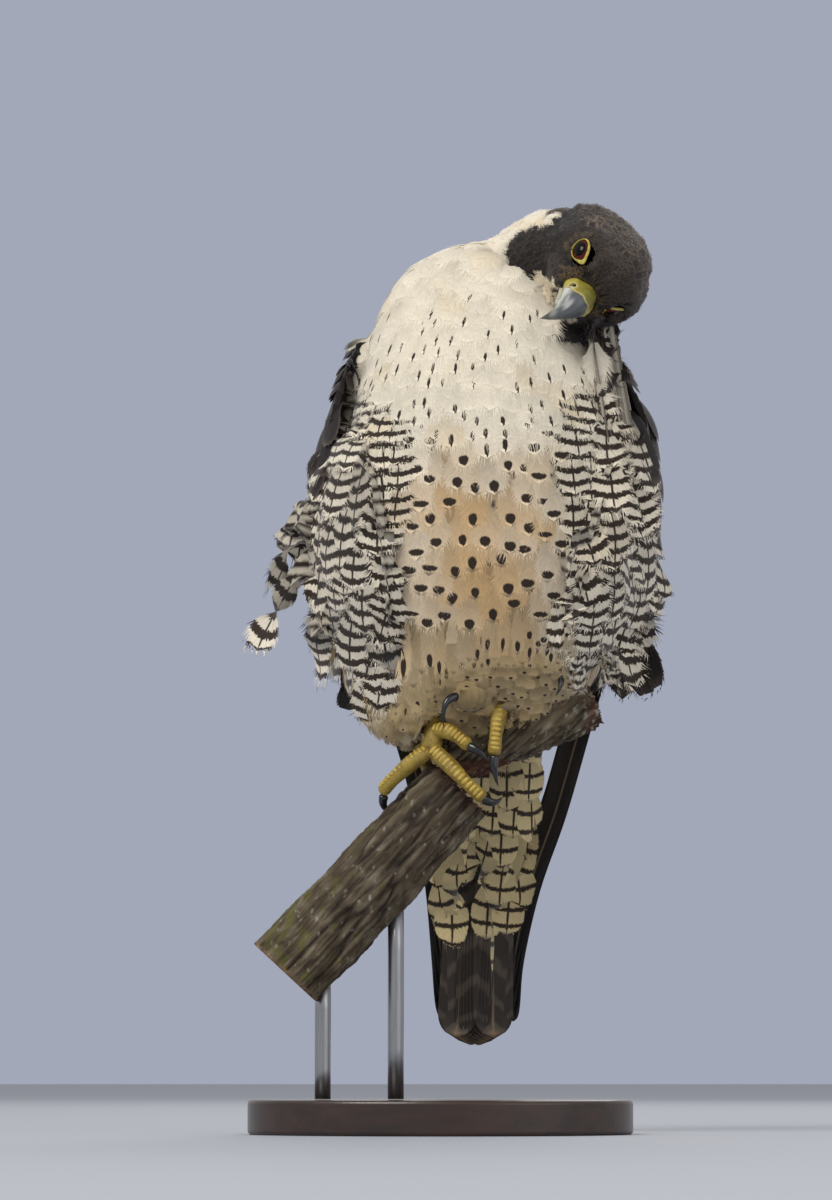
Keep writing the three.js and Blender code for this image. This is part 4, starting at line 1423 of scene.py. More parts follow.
    def laid(
        self,
        tree: BVHTree,
        mesh: Mesh,
        gap: Array,
        place: Array,
        facing: Array,
        way: Array,
        lie: Array,
        coat: Plumage,
        loose: tuple[float, float],
    ) -> tuple[Array, Array]:
        """Lays each feather's line over the body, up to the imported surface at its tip.

        Args:
            tree: the skin, for finding the surface.
            mesh: the skin's mesh.
            gap: the room above each of its points.
            place: roots.
            facing: the skin's direction at each root.
            way: the direction in which each feather leaves its root.
            lie: the direction that it bends to further on.
            coat: sizes.
            loose: how far from the skin a feather starts to leave it, and has left it, in millimetres.

        Returns:
            Four places along each feather, and the direction away from the body at each.
        """
        corner = [polygon.vertices[0] for polygon in mesh.polygons]
        lift = self.rng.uniform(0.86, 1.04, len(place))
        lift += (coat.width < 7) * self.rng.uniform(-0.25, 0.2, len(place))
        lift += np.where(coat.width > 7, 0.16 * wobble(place, 26, 52), 0)
        from_crown = np.sum((HEAD.inside(place) - self.crown) ** 2, axis=1)
        fluff = self.fluff * np.exp(-from_crown / (2 * self.crown_reach**2))
        lines, ups = [place - facing * self.root_depth], [facing]
        aim = place.copy()
        for share, bend in ((1 / 3, 0.0), (2 / 3, 0.45), (1.0, 0.7)):
            aim = aim + unit(way * (1 - bend) + lie * bend) * (coat.length / 3)[:, None]
            found, outwards, room = np.empty_like(aim), np.empty_like(aim), np.empty(len(aim))
            for i, point in enumerate(aim * MM):
                location, normal, index, _ = tree.find_nearest(Vector(point))
                found[i], outwards[i], room[i] = location, normal, gap[corner[index]]
            found /= MM
            mixed = unit(outwards * 0.6 + facing * 0.4)
            away = np.linalg.norm(aim - found, axis=1, keepdims=True)
            straight = aim - facing * (coat.length * share * 0.08)[:, None]
            off = ramp(away, *loose)
            height = (room + fluff) * (1 - (1 - share) ** 2.4) * lift
            lines.append(found * (1 - off) + straight * off + mixed * height[:, None] * (1 - off))
            ups.append(unit(mixed * (1.15 - off) + facing * off))
        return np.stack(lines, 1), np.stack(ups, 1)


# Long feathers


@dataclass
class LongFeathers:
    """The flight feathers of the wings and the tail, each a bowed vane with its own shaft."""

    right: Rows = field(
        default_factory=lambda: [
            (-40, 30, 268), (-36, 35, 256), (-27, 45, 230), (-15, 57, 198), (-6, 70, 164),
            (0, 84, 127), (3, 97, 90), (4, 105, 66), (6, 108, 56),
        ]
    )
    left: Rows = field(
        default_factory=lambda: [
            (86, 30, 268), (84, 35, 256), (77, 45, 230), (68, 57, 198), (58, 70, 164),
            (45, 84, 127), (37, 97, 90), (36, 105, 66), (37, 108, 57),
        ]
    )
    tail: Rows = field(
        default_factory=lambda: [
            (24, 58, 222), (24, 62, 210), (23, 72, 170), (21, 84, 120), (19, 94, 70), (18.5, 98, 44),
        ]
    )
    tail_width: float = 24.0
    tail_length: float = 182.0
    primary_width: float = 17.0
    primary_length: float = 210.0
    primaries: int = 8  # of each wing
    tail_pairs: int = 6
    stagger: float = 0.075  # how much further up each next primary ends, as a share of the length

    def blade(self, line: Array, up: Array, width: float, pointed: float) -> Shape:
        """Makes one long feather.

        Args:
            line: places along its shaft.
            up: the direction that its upper side faces.
            width: its greatest width.
            pointed: how much of its length narrows to the tip.

        Returns:
            A thin closed vane with its Vane UV places.
        """
        along, across = 48, 10
        v = np.linspace(0, 1, along + 1)
        centre = spline(line, v)
        way = unit(np.gradient(centre, axis=0))
        side = unit(np.cross(way, up))
        normal = np.cross(side, way)
        u = np.linspace(-1, 1, across + 1)
        tip = np.sqrt(np.clip(1 - ((v - (1 - pointed)) / pointed).clip(0, 1) ** 2.2, 0, 1))
        half = width / 2 * ramp(v, -0.12, 0.12) * np.maximum(tip, 0.04)
        bow = 0.16 * width * (1 - u**2)
        flatness = (half / (width / 2))[:, None, None]
        top = centre[:, None] + side[:, None] * (half[:, None] * u)[..., None]
        top = top + normal[:, None] * bow[None, :, None] * flatness
        thick = 0.28 + 0.35 * np.exp(-((u / 0.08) ** 2))  # the vane, and its shaft down the middle
        lower = top - normal[:, None] * thick[None, :, None]
        points = np.concatenate([top.reshape(-1, 3), lower.reshape(-1, 3)])
        uv = np.stack(np.broadcast_arrays((u[None] + 1) / 2, v[:, None]), -1).reshape(-1, 2)
        n = across + 1
        total = (along + 1) * n
        upper = quads(along + 1, n, closed=False)
        faces = upper + [(total + a, total + d, total + c, total + b) for a, b, c, d in upper]
        border = [i * n for i in range(along + 1)] + [along * n + j for j in range(1, n)]
        border += [i * n + n - 1 for i in range(along - 1, -1, -1)] + [j for j in range(n - 2, 0, -1)]
        for a, b in zip(border, border[1:] + border[:1]):
            faces.append((a, total + a, total + b, b))
        return Shape(points, faces, np.vstack([uv, uv]))

    @staticmethod
    def gathered(name: str, blades: list[Shape], material: Material) -> Object:
        """Joins blades to one object with their Vane UV map."""
        whole = joined(blades)
        whole.uv = np.vstack([b.uv for b in blades])
        return solid(name, whole, material)

    def wing(self, name: str, line: Rows, mirrored: bool, material: Material) -> None:
        """Makes one wing's folded primaries."""
        rows = np.array(line, float)
        inward = -1.0 if mirrored else 1.0
        out = unit(np.array([0.62 * inward, 0.78, 0.12]))
        across = unit(np.array([0.78 * inward, -0.62, 0.0]))
        blades = []
        for k in range(self.primaries):
            share = np.linspace(0, 1 - self.stagger * k, 9)
            path = spline(rows, share)
            drift = np.linspace(0.2, 1, 9)[:, None]
            path = path + across * (3.4 - 1.15 * k) * drift + out * (0.62 * k - 1.6)
            blades.append(self.blade(path, out, self.primary_width - 0.5 * k, 0.5))
        placed(self.gathered(name, blades, material), "wing_feathers", name)

    def build(self) -> None:
        """Makes the primaries and the tail."""
        primary = BarredVane("primary_vane", "#26211f", "#3a3330", "#4a423c", 0.0)
        rectrix = BarredVane("tail_vane", "#39322d", "#5f554b", "#8c7558", 17.0, 0.5)
        dark = primary.made(self.primary_length)
        self.wing("primaries_right", self.right, True, dark)
        self.wing("primaries_left", self.left, False, dark)
        blades = []
        back = unit(np.array([0.0, 1.0, 0.33]))
        for k in range(self.tail_pairs):
            for sign in (-1, 1):
                path = spline(self.tail, np.linspace(0.0, 1 - 0.008 * k, 9))
                drift = np.linspace(0.3, 1, 9)[:, None]
                path = path + X_AXIS * sign * (2.0 + 1.55 * k) * drift
                path = path - back * (0.55 * k - 1.4) - back * 0.2 * sign
                blades.append(self.blade(path, back, self.tail_width - 0.6 * k, 0.13))
        placed(self.gathered("tail", blades, rectrix.made(self.tail_length)), "tail_feathers", "tail")


# Head: eyes, lids, cere and bill


@dataclass
class Face:
    """The eyes with their bare rings, the cere with its nostrils, and the horn of the bill."""

    upper: Rows = field(
        default_factory=lambda: [
            (18.5, 0, -2.6, 0, 0), (19.5, 0, -2.6, 8.6, 7.0), (26.5, 0, -2.9, 8.3, 7.7),
            (31.5, 0, -4.3, 7.0, 7.2), (35.2, 0, -7.4, 5.1, 5.9), (36.9, 0, -11.3, 3.3, 4.1),
            (36.8, 0, -16.2, 1.7, 2.2), (35.2, 0, -22.0, 0, 0),
        ]
    )
    lower: Rows = field(
        default_factory=lambda: [
            (18, 0, -9.6, 0, 0), (19.5, 0, -9.8, 6.6, 3.0), (26, 0, -10.6, 5.5, 2.8),
            (31, 0, -12.2, 3.7, 2.1), (33.8, 0, -13.4, 0, 0),
        ]
    )
    nostril: tuple[float, float, float] = (27.8, 7.4, -1.4)

    def build(self) -> None:
        """Makes the eyes with their rings, the cere and the bill."""
        glossy = self.eye_material()
        bare = Mottled("bare_eye_ring", "#a59a4a", "#cfc05a", 1.6, 0.5, 0.12, 0.45, subsurface=0.1).made()
        for name, sign in (("eye_right", -1), ("eye_left", 1)):
            self.ball(name, Eye(sign), glossy)
            self.lids("lids_" + name, Eye(sign), bare)
        self.cere()
        self.horn()

    @staticmethod
    def eye_material() -> Material:
        """Eye: a wet cornea over a very dark iris, so it mirrors the lights sharply."""
        material, tree, shader = surface("wet_eye", Roughness=0.05, Specular_IOR_Level=0.2)
        feed(tree, shader, {"Base Color": add(tree, "ShaderNodeAttribute", attribute_name="tone")})
        return material

    @staticmethod
    def ball(name: str, eye: Eye, material: Material) -> None:
        """Makes one eyeball, with a slightly domed cornea over a red-brown iris."""
        rows, columns = 60, 64
        polar = np.linspace(POLE, np.pi - POLE, rows + 1)[:, None]
        angle = np.linspace(0, 2 * np.pi, columns, endpoint=False)[None]
        across = eye.radius * np.sin(polar)
        front = polar < 1.4  # radians, the part that can show
        dome = 0.6 * np.exp(-((across / 4.8) ** 4)) * front
        points = (
            eye.middle
            + eye.look * ((eye.radius - 0.2) * np.cos(polar) + dome + 0 * angle)[..., None]
            + eye.ahead * (np.minimum(across, eye.opening + 0.35) * np.cos(angle))[..., None]
            + eye.up * (np.minimum(across, eye.opening + 0.35) * np.sin(angle) * eye.narrow)[..., None]
        )
        colour = np.tile(linear("#0b0605"), (rows + 1, columns, 1))
        iris = (across > eye.pupil) & (across < eye.iris) & front
        colour[iris[:, 0]] = linear("#5a1712")
        colour[((across <= eye.pupil) & front)[:, 0]] = linear("#040303")
        faces = quads(rows + 1, columns)
        faces += [tuple(range(columns)), tuple(range(rows * columns + columns - 1, rows * columns - 1, -1))]
        shape = Shape(HEAD.outside(points.reshape(-1, 3)), faces, colours=colour.reshape(-1, 3))
        placed(solid(name + "_ball", shape, material), "eye", name)

    @staticmethod
    def lids(name: str, eye: Eye, material: Material) -> None:
        """Makes the bare skin round an eye: a folded ring that widens to a corner towards the bill."""
        columns, rows = 120, 16
        angle = np.linspace(-np.pi, np.pi, columns, endpoint=False)[:, None]
        profile = np.linspace(0, 2 * np.pi, rows, endpoint=False)[None]
        corner = np.exp(-((angle / 0.42) ** 2))
        radius = eye.opening + 0.4 + 1.1 * corner
        width = 0.5 + 0.8 * corner + 0.05 * np.sin(5 * angle)
        across = radius + width * np.cos(profile)
        edge = eye.opening * (1 - (1 - eye.narrow) * np.sin(angle) ** 2) + 0.2
        rim = np.sqrt(eye.radius**2 - edge**2)
        fold = 0.14 * np.cos(3 * profile) + 0.05 * np.sin(23 * angle) * np.cos(profile)
        height = rim - 0.5 * corner + (0.6 + fold) * np.sin(profile) - 0.25 * np.cos(profile)
        points = (
            eye.middle
            + eye.look * height[..., None]
            + eye.ahead * (across * np.cos(angle))[..., None]
            + eye.up * (across * np.sin(angle) * eye.narrow)[..., None]
        )
        faces = [tuple(corner % (columns * rows) for corner in face) for face in quads(columns + 1, rows)]
        placed(solid(name, Shape(HEAD.outside(points.reshape(-1, 3)), faces), material), "cere")

    @staticmethod
    def arched(t: Array, angle: Array) -> Array:
        """Shapes the bill's section: a ridge, flat sides that spread to the cutting edges, and a floor."""
        from_top = np.abs((angle + np.pi / 2 + np.pi) % (2 * np.pi) - np.pi)
        return (
            1
            - 0.12 * np.exp(-(((from_top - 0.85) / 0.4) ** 2))
            + 0.07 * np.exp(-(((from_top - 2.05) / 0.35) ** 2))
            - 0.16 * np.exp(-(((from_top - 3.1) / 0.6) ** 2))
            + 0 * t
        )

    def pitted(self, points: Array) -> Array:
        """Sinks the two round nostrils into the cere, each with a low rim round it."""
        moved = points.copy()
        for sign in (-1, 1):
            offset = points - np.array([self.nostril[0], sign * self.nostril[1], self.nostril[2]])
            away = np.linalg.norm(offset[:, [0, 2]], axis=1) + 10 * (np.sign(points[:, 1]) != sign)
            moved[:, 1] -= sign * 2.2 * (1 - ramp(away, 1.05, 1.6))
            moved[:, 1] += sign * 0.35 * np.exp(-(((away - 2.0) / 0.4) ** 2))
        return moved

    def cere(self) -> None:
        """Makes the cere, a waxy swollen skin over the base of the bill, and the bony pin in each nostril."""
        swollen = [(x, y, z, w + 0.6 * (w > 0), d + 0.6 * (w > 0)) for x, y, z, w, d in self.upper]
        shape = tube(swollen, Y_AXIS, 180, 230, relief=self.arched)
        local = self.pitted(shape.points)
        edge = 33.3 - 0.68 * (3 - local[:, 2]) + 0.5 * np.cos(local[:, 1] * 0.9)
        front = local[:, 0] > edge
        middle = np.stack([np.minimum(edge, 30.0) - 1.5, 0 * edge, np.full(len(edge), -4.0)], 1)
        local[front] += (middle[front] - local[front]) * 0.3
        colour = blend(linear("#b9ab4a"), linear("#8b8438"), ramp(local[:, 2], -1.5, 3.5))
        colour = blend(colour, linear("#d6cf92"), ramp(local[:, 0] - edge, -1.6, -0.3) * 0.7)
        for sign in (-1, 1):
            centre = np.array([self.nostril[0], sign * self.nostril[1], self.nostril[2]])
            away = np.linalg.norm((shape.points - centre)[:, [0, 2]], axis=1)
            away += 10 * (np.sign(local[:, 1]) != sign)
            colour = blend(colour, linear("#d9d29c"), np.exp(-(((away - 2.0) / 0.35) ** 2)) * 0.7)
            # painted shade: the inside of each nostril pit is near-black
            colour[away < 1.5] = linear("#120d06")
        wax = Mottled("waxy_cere", "#ffffff", "#dcd6c0", 4, 0.7, 0.1, 0.36, subsurface=0.1, attribute=True)
        skin = Shape(HEAD.outside(local), shape.faces, colours=colour)
        placed(solid("cere_skin", skin, wax.made()), "cere", "cere")
        x, y, z = self.nostril
        pins = []
        for sign in (-1, 1):
            depths = ((3.2, 0.3), (1.9, 0.26), (1.6, 0.0))
            pins.append(tube([(x, sign * (y - deep), z, r, r) for deep, r in depths], X_AXIS, 14, 8))
        whole = joined(pins)
        pin = Mottled("nostril_pin", "#6b6238", "#544b26", 1, 0.4, 0.05, 0.5).made()
        placed(solid("nostril_pins", Shape(HEAD.outside(whole.points), whole.faces), pin), "cere")

    def horn(self) -> None:
        """Makes the bill: pale blue-grey at its base, slate towards the ridge and black at the hook, with a
        painted highlight along the ridge.
        """
        material, tree, shader = surface("bill_horn", Roughness=0.3, Coat_Weight=0.2, Coat_Roughness=0.25)
        feed(tree, shader, {"Base Color": add(tree, "ShaderNodeAttribute", attribute_name="tone")})
        for name, rows, node in (
            ("bill_upper_horn", self.upper, "bill_upper"),
            ("bill_lower_horn", self.lower, "bill_lower"),
        ):
            shape = tube(rows, Y_AXIS, 96, 150, relief=self.arched)
            local = shape.points.copy()
            along = shape.uv[:, 1]
            grown = wobble(local * [1, 1, 0.4], 5, 8)
            if node == "bill_upper":
                covered = ramp(30.5 - 0.5 * (3 - local[:, 2]) - local[:, 0], 0, 2)[:, None]
                local += covered * 0.26 * (local * [1, 0, 0] + [0, 0, -3.5] - local)
                tooth = np.exp(-(((local[:, 0] - 32.5) / 1.3) ** 2)) * (local[:, 2] < -9)
                local[:, 2] -= 0.9 * tooth
                height = local[:, 2] + 0.9 * (local[:, 0] - 31) - 0.25 * np.abs(local[:, 1])
                top = ramp(height + grown, -7.5, -1.0)
                colour = blend(linear("#cdd0c6"), linear("#3a4047"), 0.92 * top)
                colour = blend(colour, linear("#26282d"), ramp(along + 0.03 * grown, 0.6, 0.88))
                # painted highlight: a lighter line down the middle of the bill, along its ridge
                colour = blend(colour, linear("#7d8388"), np.exp(-((local[:, 1] / 0.9) ** 2)) * 0.25)
            else:
                colour = blend(linear("#bdb8a2"), linear("#7c8180"), ramp(along, 0.5, 1))
            shaped = Shape(HEAD.outside(local), shape.faces, colours=colour)
            placed(solid(name, shaped, material), "bill", node)


# Feet


@dataclass(frozen=True)
class Toe:
    """One toe: the line of its bones, and the line of its claw."""

    name: str
    line: tuple[tuple[float, float, float], ...]
    claw: tuple[tuple[float, float, float], ...]


@dataclass
class Feet:
    """The bare legs and toes with their scutes, and the claws."""

    PERCH_LINE = [(-74.3, 0, 85.6), (22.0, 0, 185.0)]  # two places on the middle line of the branch

    toe_radius: float = 3.9
    tarsus_radius: float = 4.4
    claw_radius: float = 2.7
    scute_step: float = 2.3
    toes: list[Toe] = field(
        default_factory=lambda: [
            Toe("right_outer", ((-6, -14, 188), (-14, -13, 182.5), (-22, -10, 175.5), (-28, -6, 169.5)),
                ((-28, -4.5, 166.5), (-27.5, -1, 161), (-22, 2, 158.5))),
            Toe("right_middle", ((-3, -16, 188), (4, -21.5, 181), (12, -24.5, 172.5), (20, -24, 165)),
                ((21.5, -24.3, 163.4), (27, -23, 162.2), (30.5, -17, 165.5))),
            Toe("right_inner", ((-2, -15, 198), (3.5, -20, 197.5), (8.5, -24, 194.5), (13, -27, 190.5)),
                ((14.5, -28.2, 189), (19.5, -30.5, 186), (23.5, -30, 181.5))),
            Toe("right_hind", ((-6, -9, 188), (-9, 0, 189), (-8, 9, 186), (-5, 17, 179)),
                ((-4.2, 19, 177), (-1, 23.5, 171), (3, 24, 164))),
            Toe("left_outer", ((34, -8, 216), (42, -9, 222), (50, -13, 226.5), (56, -17, 228)),
                ((57.5, -19, 227), (59.5, -24, 221.5), (56.5, -26, 214))),
            Toe("left_middle", ((30, -14, 213), (29, -21, 206), (27.5, -25.5, 196.5), (26.5, -27, 187)),
                ((26.3, -27.4, 184), (26.5, -28.5, 177), (28.5, -26.5, 169.5))),
            Toe("left_inner", ((28, -13, 215), (22, -19, 216), (16, -25, 215.5), (11.5, -29, 214)),
                ((9.5, -30.5, 213.5), (2.5, -35, 209.5), (1.8, -34.5, 197))),
            Toe("left_hind", ((32, -6, 214), (34, 3, 215), (37, 11, 211), (39, 16.5, 203)),
                ((39.5, 18, 201), (40, 20.5, 195), (42, 19, 188))),
        ]
    )
    tarsi: dict[str, list[tuple[float, float, float]]] = field(
        default_factory=lambda: {
            "right": [(-5, -7, 213), (-3.5, -12, 201), (-4.5, -14, 190)],
            "left": [(38, -4, 230), (34, -8, 222), (31, -10, 213.5)],
        }
    )

    def limb(self, line: list[tuple[float, float, float]], start: float, end: float, knuckles: int) -> Shape:
        """Makes a limb with rounded ends that swells at its joints."""
        points = np.array(line, float)
        first = points[0] + unit(points[0] - points[1]) * start * 0.8
        last = points[-1] + unit(points[-1] - points[-2]) * end * 0.8
        radii = np.linspace(start, end, len(points))
        rows = [(*first, 0, 0)] + [(*p, r, r) for p, r in zip(points, radii)] + [(*last, 0, 0)]

        def swell(t: Array, angle: Array) -> Array:
            """Pads under the joints, and thinner between them."""
            pads = 0.1 * np.cos(2 * np.pi * (t * knuckles + 0.15))
            return 1 + pads + 0.06 * np.sin(angle * 2) * np.sin(9 * t)

        return tube(rows, Y_AXIS, 32, 44, relief=swell)

    def build(self) -> None:
        """Makes both feet and all the claws."""
        skin = Mottled("scaly_foot_skin", "#a8903c", "#7d6326", 5, 1.1, 0.5, 0.5, subsurface=0.06).made()
        plate = Mottled("foot_scute", "#cbb352", "#b08c34", 3, 0.6, 0.12, 0.42, subsurface=0.06).made()
        horn = Mottled("claw_horn", "#131316", "#232329", 3, 1.5, 0.04, 0.22, coat=0.2).made()
        for side, line in self.tarsi.items():
            toes = [t for t in self.toes if t.name.startswith(side)]
            limbs = [self.limb(line, self.tarsus_radius, self.tarsus_radius * 1.1, 1)]
            limbs += [self.limb(list(t.line), self.toe_radius, self.toe_radius * 0.86, 2) for t in toes]
            foot = fused("foot_" + side, limbs, 0.55, 5)
            foot.data.materials.append(skin)
            placed(foot, "foot_skin", "tarsus_" + side, *("toe_" + t.name for t in toes))
            self.scutes("scutes_" + side, toes, plate)
        for toe in self.toes:
            placed(solid("claw_horn_" + toe.name, self.claw(toe), horn), "claw", "claw_" + toe.name)

    def claw(self, toe: Toe) -> Shape:
        """Returns a claw, thick at its base, flattened beneath and drawn out to a point."""
        start, bend, tip = (np.array(p, float) for p in toe.claw)
        control = 2 * bend - (start + tip) / 2
        rows = [(*(start - unit(control - start) * 1.2), 0, 0)]
        for t in np.linspace(0, 1, 8):
            place = start * (1 - t) ** 2 + control * 2 * t * (1 - t) + tip * t**2
            thick = self.claw_radius * 0.95 * (1 - t) ** 0.75 * (0.86 + 0.14 * min(1, t * 5))
            rows.append((*place, thick * 0.88, thick))
        return tube(rows, unit(np.array([0.3, 1, 0.2])), 26, 60)

    def scutes(self, name: str, toes: list[Toe], material: Material) -> None:
        """Lays a row of overlapping plates along the upper side of each toe, with Geometry Nodes.

        Args:
            name: the object's name.
            toes: the toes of one foot.
            material: what the plates are made of.
        """
        rows: list[Array] = []
        for toe in toes:
            line = np.array(toe.line, float)
            length = np.linalg.norm(np.diff(line, axis=0), axis=1).sum()
            count = int(length / self.scute_step)
            t = (np.arange(count) + 0.5) / count
            centre = spline(line, t)
            way = unit(spline(line, np.clip(t + 0.02, 0, 1)) - spline(line, np.clip(t - 0.02, 0, 1)))
            outwards = unit(centre - self.perch_axis(centre))
            up = unit(outwards - way * np.sum(outwards * way, axis=1, keepdims=True))
            radius = self.toe_radius * (1 - 0.14 * t)[:, None]
            size = radius / self.toe_radius
            rows.append(np.hstack([centre + up * radius * 0.84, way, up, size]))
        table = np.vstack(rows)
        mesh = bpy.data.meshes.new(name + "_places")
        mesh.from_pydata((table[:, :3] * MM).tolist(), [], [])
        for label, columns in (("way", slice(3, 6)), ("up", slice(6, 9))):
            attribute = mesh.attributes.new(label, "FLOAT_VECTOR", "POINT")
            attribute.data.foreach_set("vector", table[:, columns].astype(np.float32).ravel())
        attribute = mesh.attributes.new("size", "FLOAT", "POINT")
        attribute.data.foreach_set("value", table[:, 9].astype(np.float32))
        made = shown(name, mesh)
        modifier = made.modifiers.new("scutes", "NODES")
        modifier.node_group = self.scute_tree(material)
        sizes = {"Across": 2.75, "Along": 1.2, "Thickness": 1.0}
        for item in modifier.node_group.interface.items_tree:
            if item.item_type == "SOCKET" and item.in_out == "INPUT" and item.name in sizes:
                modifier[item.identifier] = sizes[item.name] * MM
        placed(settled(made), "foot_skin")

    @staticmethod
    def perch_axis(points: Array) -> Array:
        """Returns the nearest place on the middle line of the perch to each point."""
        start, end = np.array(Feet.PERCH_LINE)
        way = unit(end - start)
        share = (points - start) @ way
        return start + share[:, None] * way

    @staticmethod
    def scute_tree(material: Material) -> NodeTree:
        """Builds the node tree that puts one plate at each place and makes it real."""
        tree = bpy.data.node_groups.new("toe_scutes", "GeometryNodeTree")
        tree.interface.new_socket("Geometry", in_out="INPUT", socket_type="NodeSocketGeometry")
        for label in ("Across", "Along", "Thickness"):
            tree.interface.new_socket(label, in_out="INPUT", socket_type="NodeSocketFloat")
        tree.interface.new_socket("Geometry", in_out="OUTPUT", socket_type="NodeSocketGeometry")
        start = add(tree, "NodeGroupInput")
        plate = add(tree, "GeometryNodeMeshUVSphere", {"Segments": 14, "Rings": 8, "Radius": 1.0})
        sizes = [start.outputs[key] for key in ("Along", "Across", "Thickness")]
        lengths = add(tree, "ShaderNodeCombineXYZ", sizes)
        sized = add(tree, "GeometryNodeTransform", {"Geometry": plate, "Scale": lengths})
        way = add(tree, "GeometryNodeInputNamedAttribute", {"Name": "way"}, data_type="FLOAT_VECTOR")
        up = add(tree, "GeometryNodeInputNamedAttribute", {"Name": "up"}, data_type="FLOAT_VECTOR")
        size = add(tree, "GeometryNodeInputNamedAttribute", {"Name": "size"}, data_type="FLOAT")
        turned = add(tree, "FunctionNodeAxesToRotation", (way, up), primary_axis="X", secondary_axis="Z")
        spread = add(
            tree,
            "GeometryNodeInstanceOnPoints",
            {"Points": start, "Instance": sized, "Rotation": turned, "Scale": size},
        )
        real = add(tree, "GeometryNodeRealizeInstances", (spread,))
        dressed = add(tree, "GeometryNodeSetMaterial", {"Geometry": real, "Material": material})
        add(tree, "NodeGroupOutput", (dressed,))
        return tree


# Perch and stand


@dataclass
class Perch:
    """The cut length of dead branch, with its broken stub."""

    branch: Rows = field(
        default_factory=lambda: [
            (-76, 0, 78.5, 21.5, 21.5), (-52, 0, 104.5, 21, 21), (-26, 0, 133, 20.5, 20.5),
            (-6, 0, 155, 20.5, 20), (9, 0, 171, 19.5, 19),
        ]
    )
    stub: Rows = field(
        default_factory=lambda: [
            (0, 0, 182, 12.5, 12.5), (16, 0, 188.5, 13, 13), (34, 0, 196, 12.5, 12.5),
            (54, 0, 203.5, 12.5, 12.5), (72, 0, 210.5, 12, 12), (78, 0, 213, 10.5, 10.5),
        ]
    )

    grain: tuple[float, float, float] = (0.676, 0.0, 0.737)  # the direction of the branch
    stretch: float = 0.86  # how far the pattern of the fibres is drawn out along the grain

    @staticmethod
    def ridges(t: Array, angle: Array) -> Array:
        """Long ridges that twist slowly round the wood."""
        return (
            0.985
            + 0.035 * np.sin(3 * angle + 5 * t)
            + 0.025 * np.sin(7 * angle - 9 * t)
            + 0.02 * np.sin(23 * t + 2 * angle)
        )

    def build(self) -> None:
        """Makes the weathered wood."""
        shapes = [
            tube(self.branch, Y_AXIS, 90, 120, flat=True, relief=self.ridges),
            tube(self.stub, Y_AXIS, 70, 80, flat=True, relief=self.ridges),
        ]
        made = fused("perch_wood", shapes, 0.9, 1)
        mesh = made.data
        points, facing = coordinates(mesh), normals(mesh)
        way = unit(np.array(self.grain))
        bent = points - way * (points @ way * self.stretch)[:, None]
        fibre = np.abs(wobble(bent, 6.0, 21))
        deep = np.abs(wobble(bent, 17, 22))
        chips = wobble(points, 6, 23)
        sawn = ramp((points - self.branch[0][:3]) @ way, 0.4, 2.5)
        ends = ramp(points[:, 0], 70, 77)
        ends += ramp((points - np.array([5, 0, 167])) @ way, 0, 6) * (points[:, 2] < 184)
        height = -0.9 * np.exp(-((fibre / 0.2) ** 2)) - 1.5 * np.exp(-((deep / 0.1) ** 2)) + 0.5 * chips
        height += ends * (1.8 * wobble(points * [0.5, 1.5, 1.5], 5, 24) - 0.8)
        points += facing * (height * sawn)[:, None]
        moved(mesh, points)
        paint(mesh, "tone", self.tones(points, facing, fibre, deep, sawn, ends))
        drawn = {"stretch": (1.0, 1.0, 5.0), "turn": math.atan2(self.grain[0], self.grain[2])}
        wood = Mottled("weathered_wood", "#ffffff", "#a59c90", 5, 1.0, 0.6, 0.92, attribute=True, **drawn)
        mesh.materials.append(wood.made())
        placed(made, "perch_wood", "perch")

    def tones(
        self, points: Array, facing: Array, fibre: Array, deep: Array, sawn: Array, ends: Array
    ) -> Array:
        """Colours the wood: grey-brown outside with painted shade in its cracks, rust-brown where it broke,
        with lichen and a little moss.

        Args:
            points: places on the wood.
            facing: its direction there.
            fibre: how far each is from a fine crack between fibres.
            deep: how far each is from a deep crack.
            sawn: 0 on the sawn face and 1 elsewhere.
            ends: 1 where the wood broke.

        Returns:
            One colour for each place.
        """
        way = unit(np.array(self.grain))
        colour = blend(linear("#675b47"), linear("#8a7f6b"), ramp(wobble(points, 14, 31), -0.3, 0.7))
        # painted shade: darker in the fine cracks between fibres, and near-black in the deep cracks
        colour = blend(colour, linear("#4a3d30"), np.exp(-((fibre / 0.2) ** 2)) * 0.6)
        colour = blend(colour, linear("#2b1f18"), np.exp(-((deep / 0.13) ** 2)) * 0.8)
        colour = blend(colour, linear("#5f3a2b"), np.clip(ends, 0, 1) * 0.75)
        moss = ramp(wobble(points, 11, 33) + 0.3 * facing[:, 2] - (points[:, 0] + 60) / 90, 0.25, 0.7)
        colour = blend(colour, linear("#6d6b32"), moss * 0.7)
        lichen = ramp(wobble(points, 5, 32) + 0.35 * ramp(points[:, 0], 55, 76), 0.62, 0.85)
        colour = blend(colour, linear("#b9b8ac"), lichen * 0.7)
        from_axis = np.linalg.norm((points - self.branch[0][:3]) * (1 - way**2), axis=1)
        rings = 0.5 + 0.5 * np.sin(from_axis * 2 * np.pi / 1.9)
        cut = blend(linear("#a98a64"), linear("#7d6144"), rings)
        return blend(colour, cut, (1 - sawn) * 0.9)


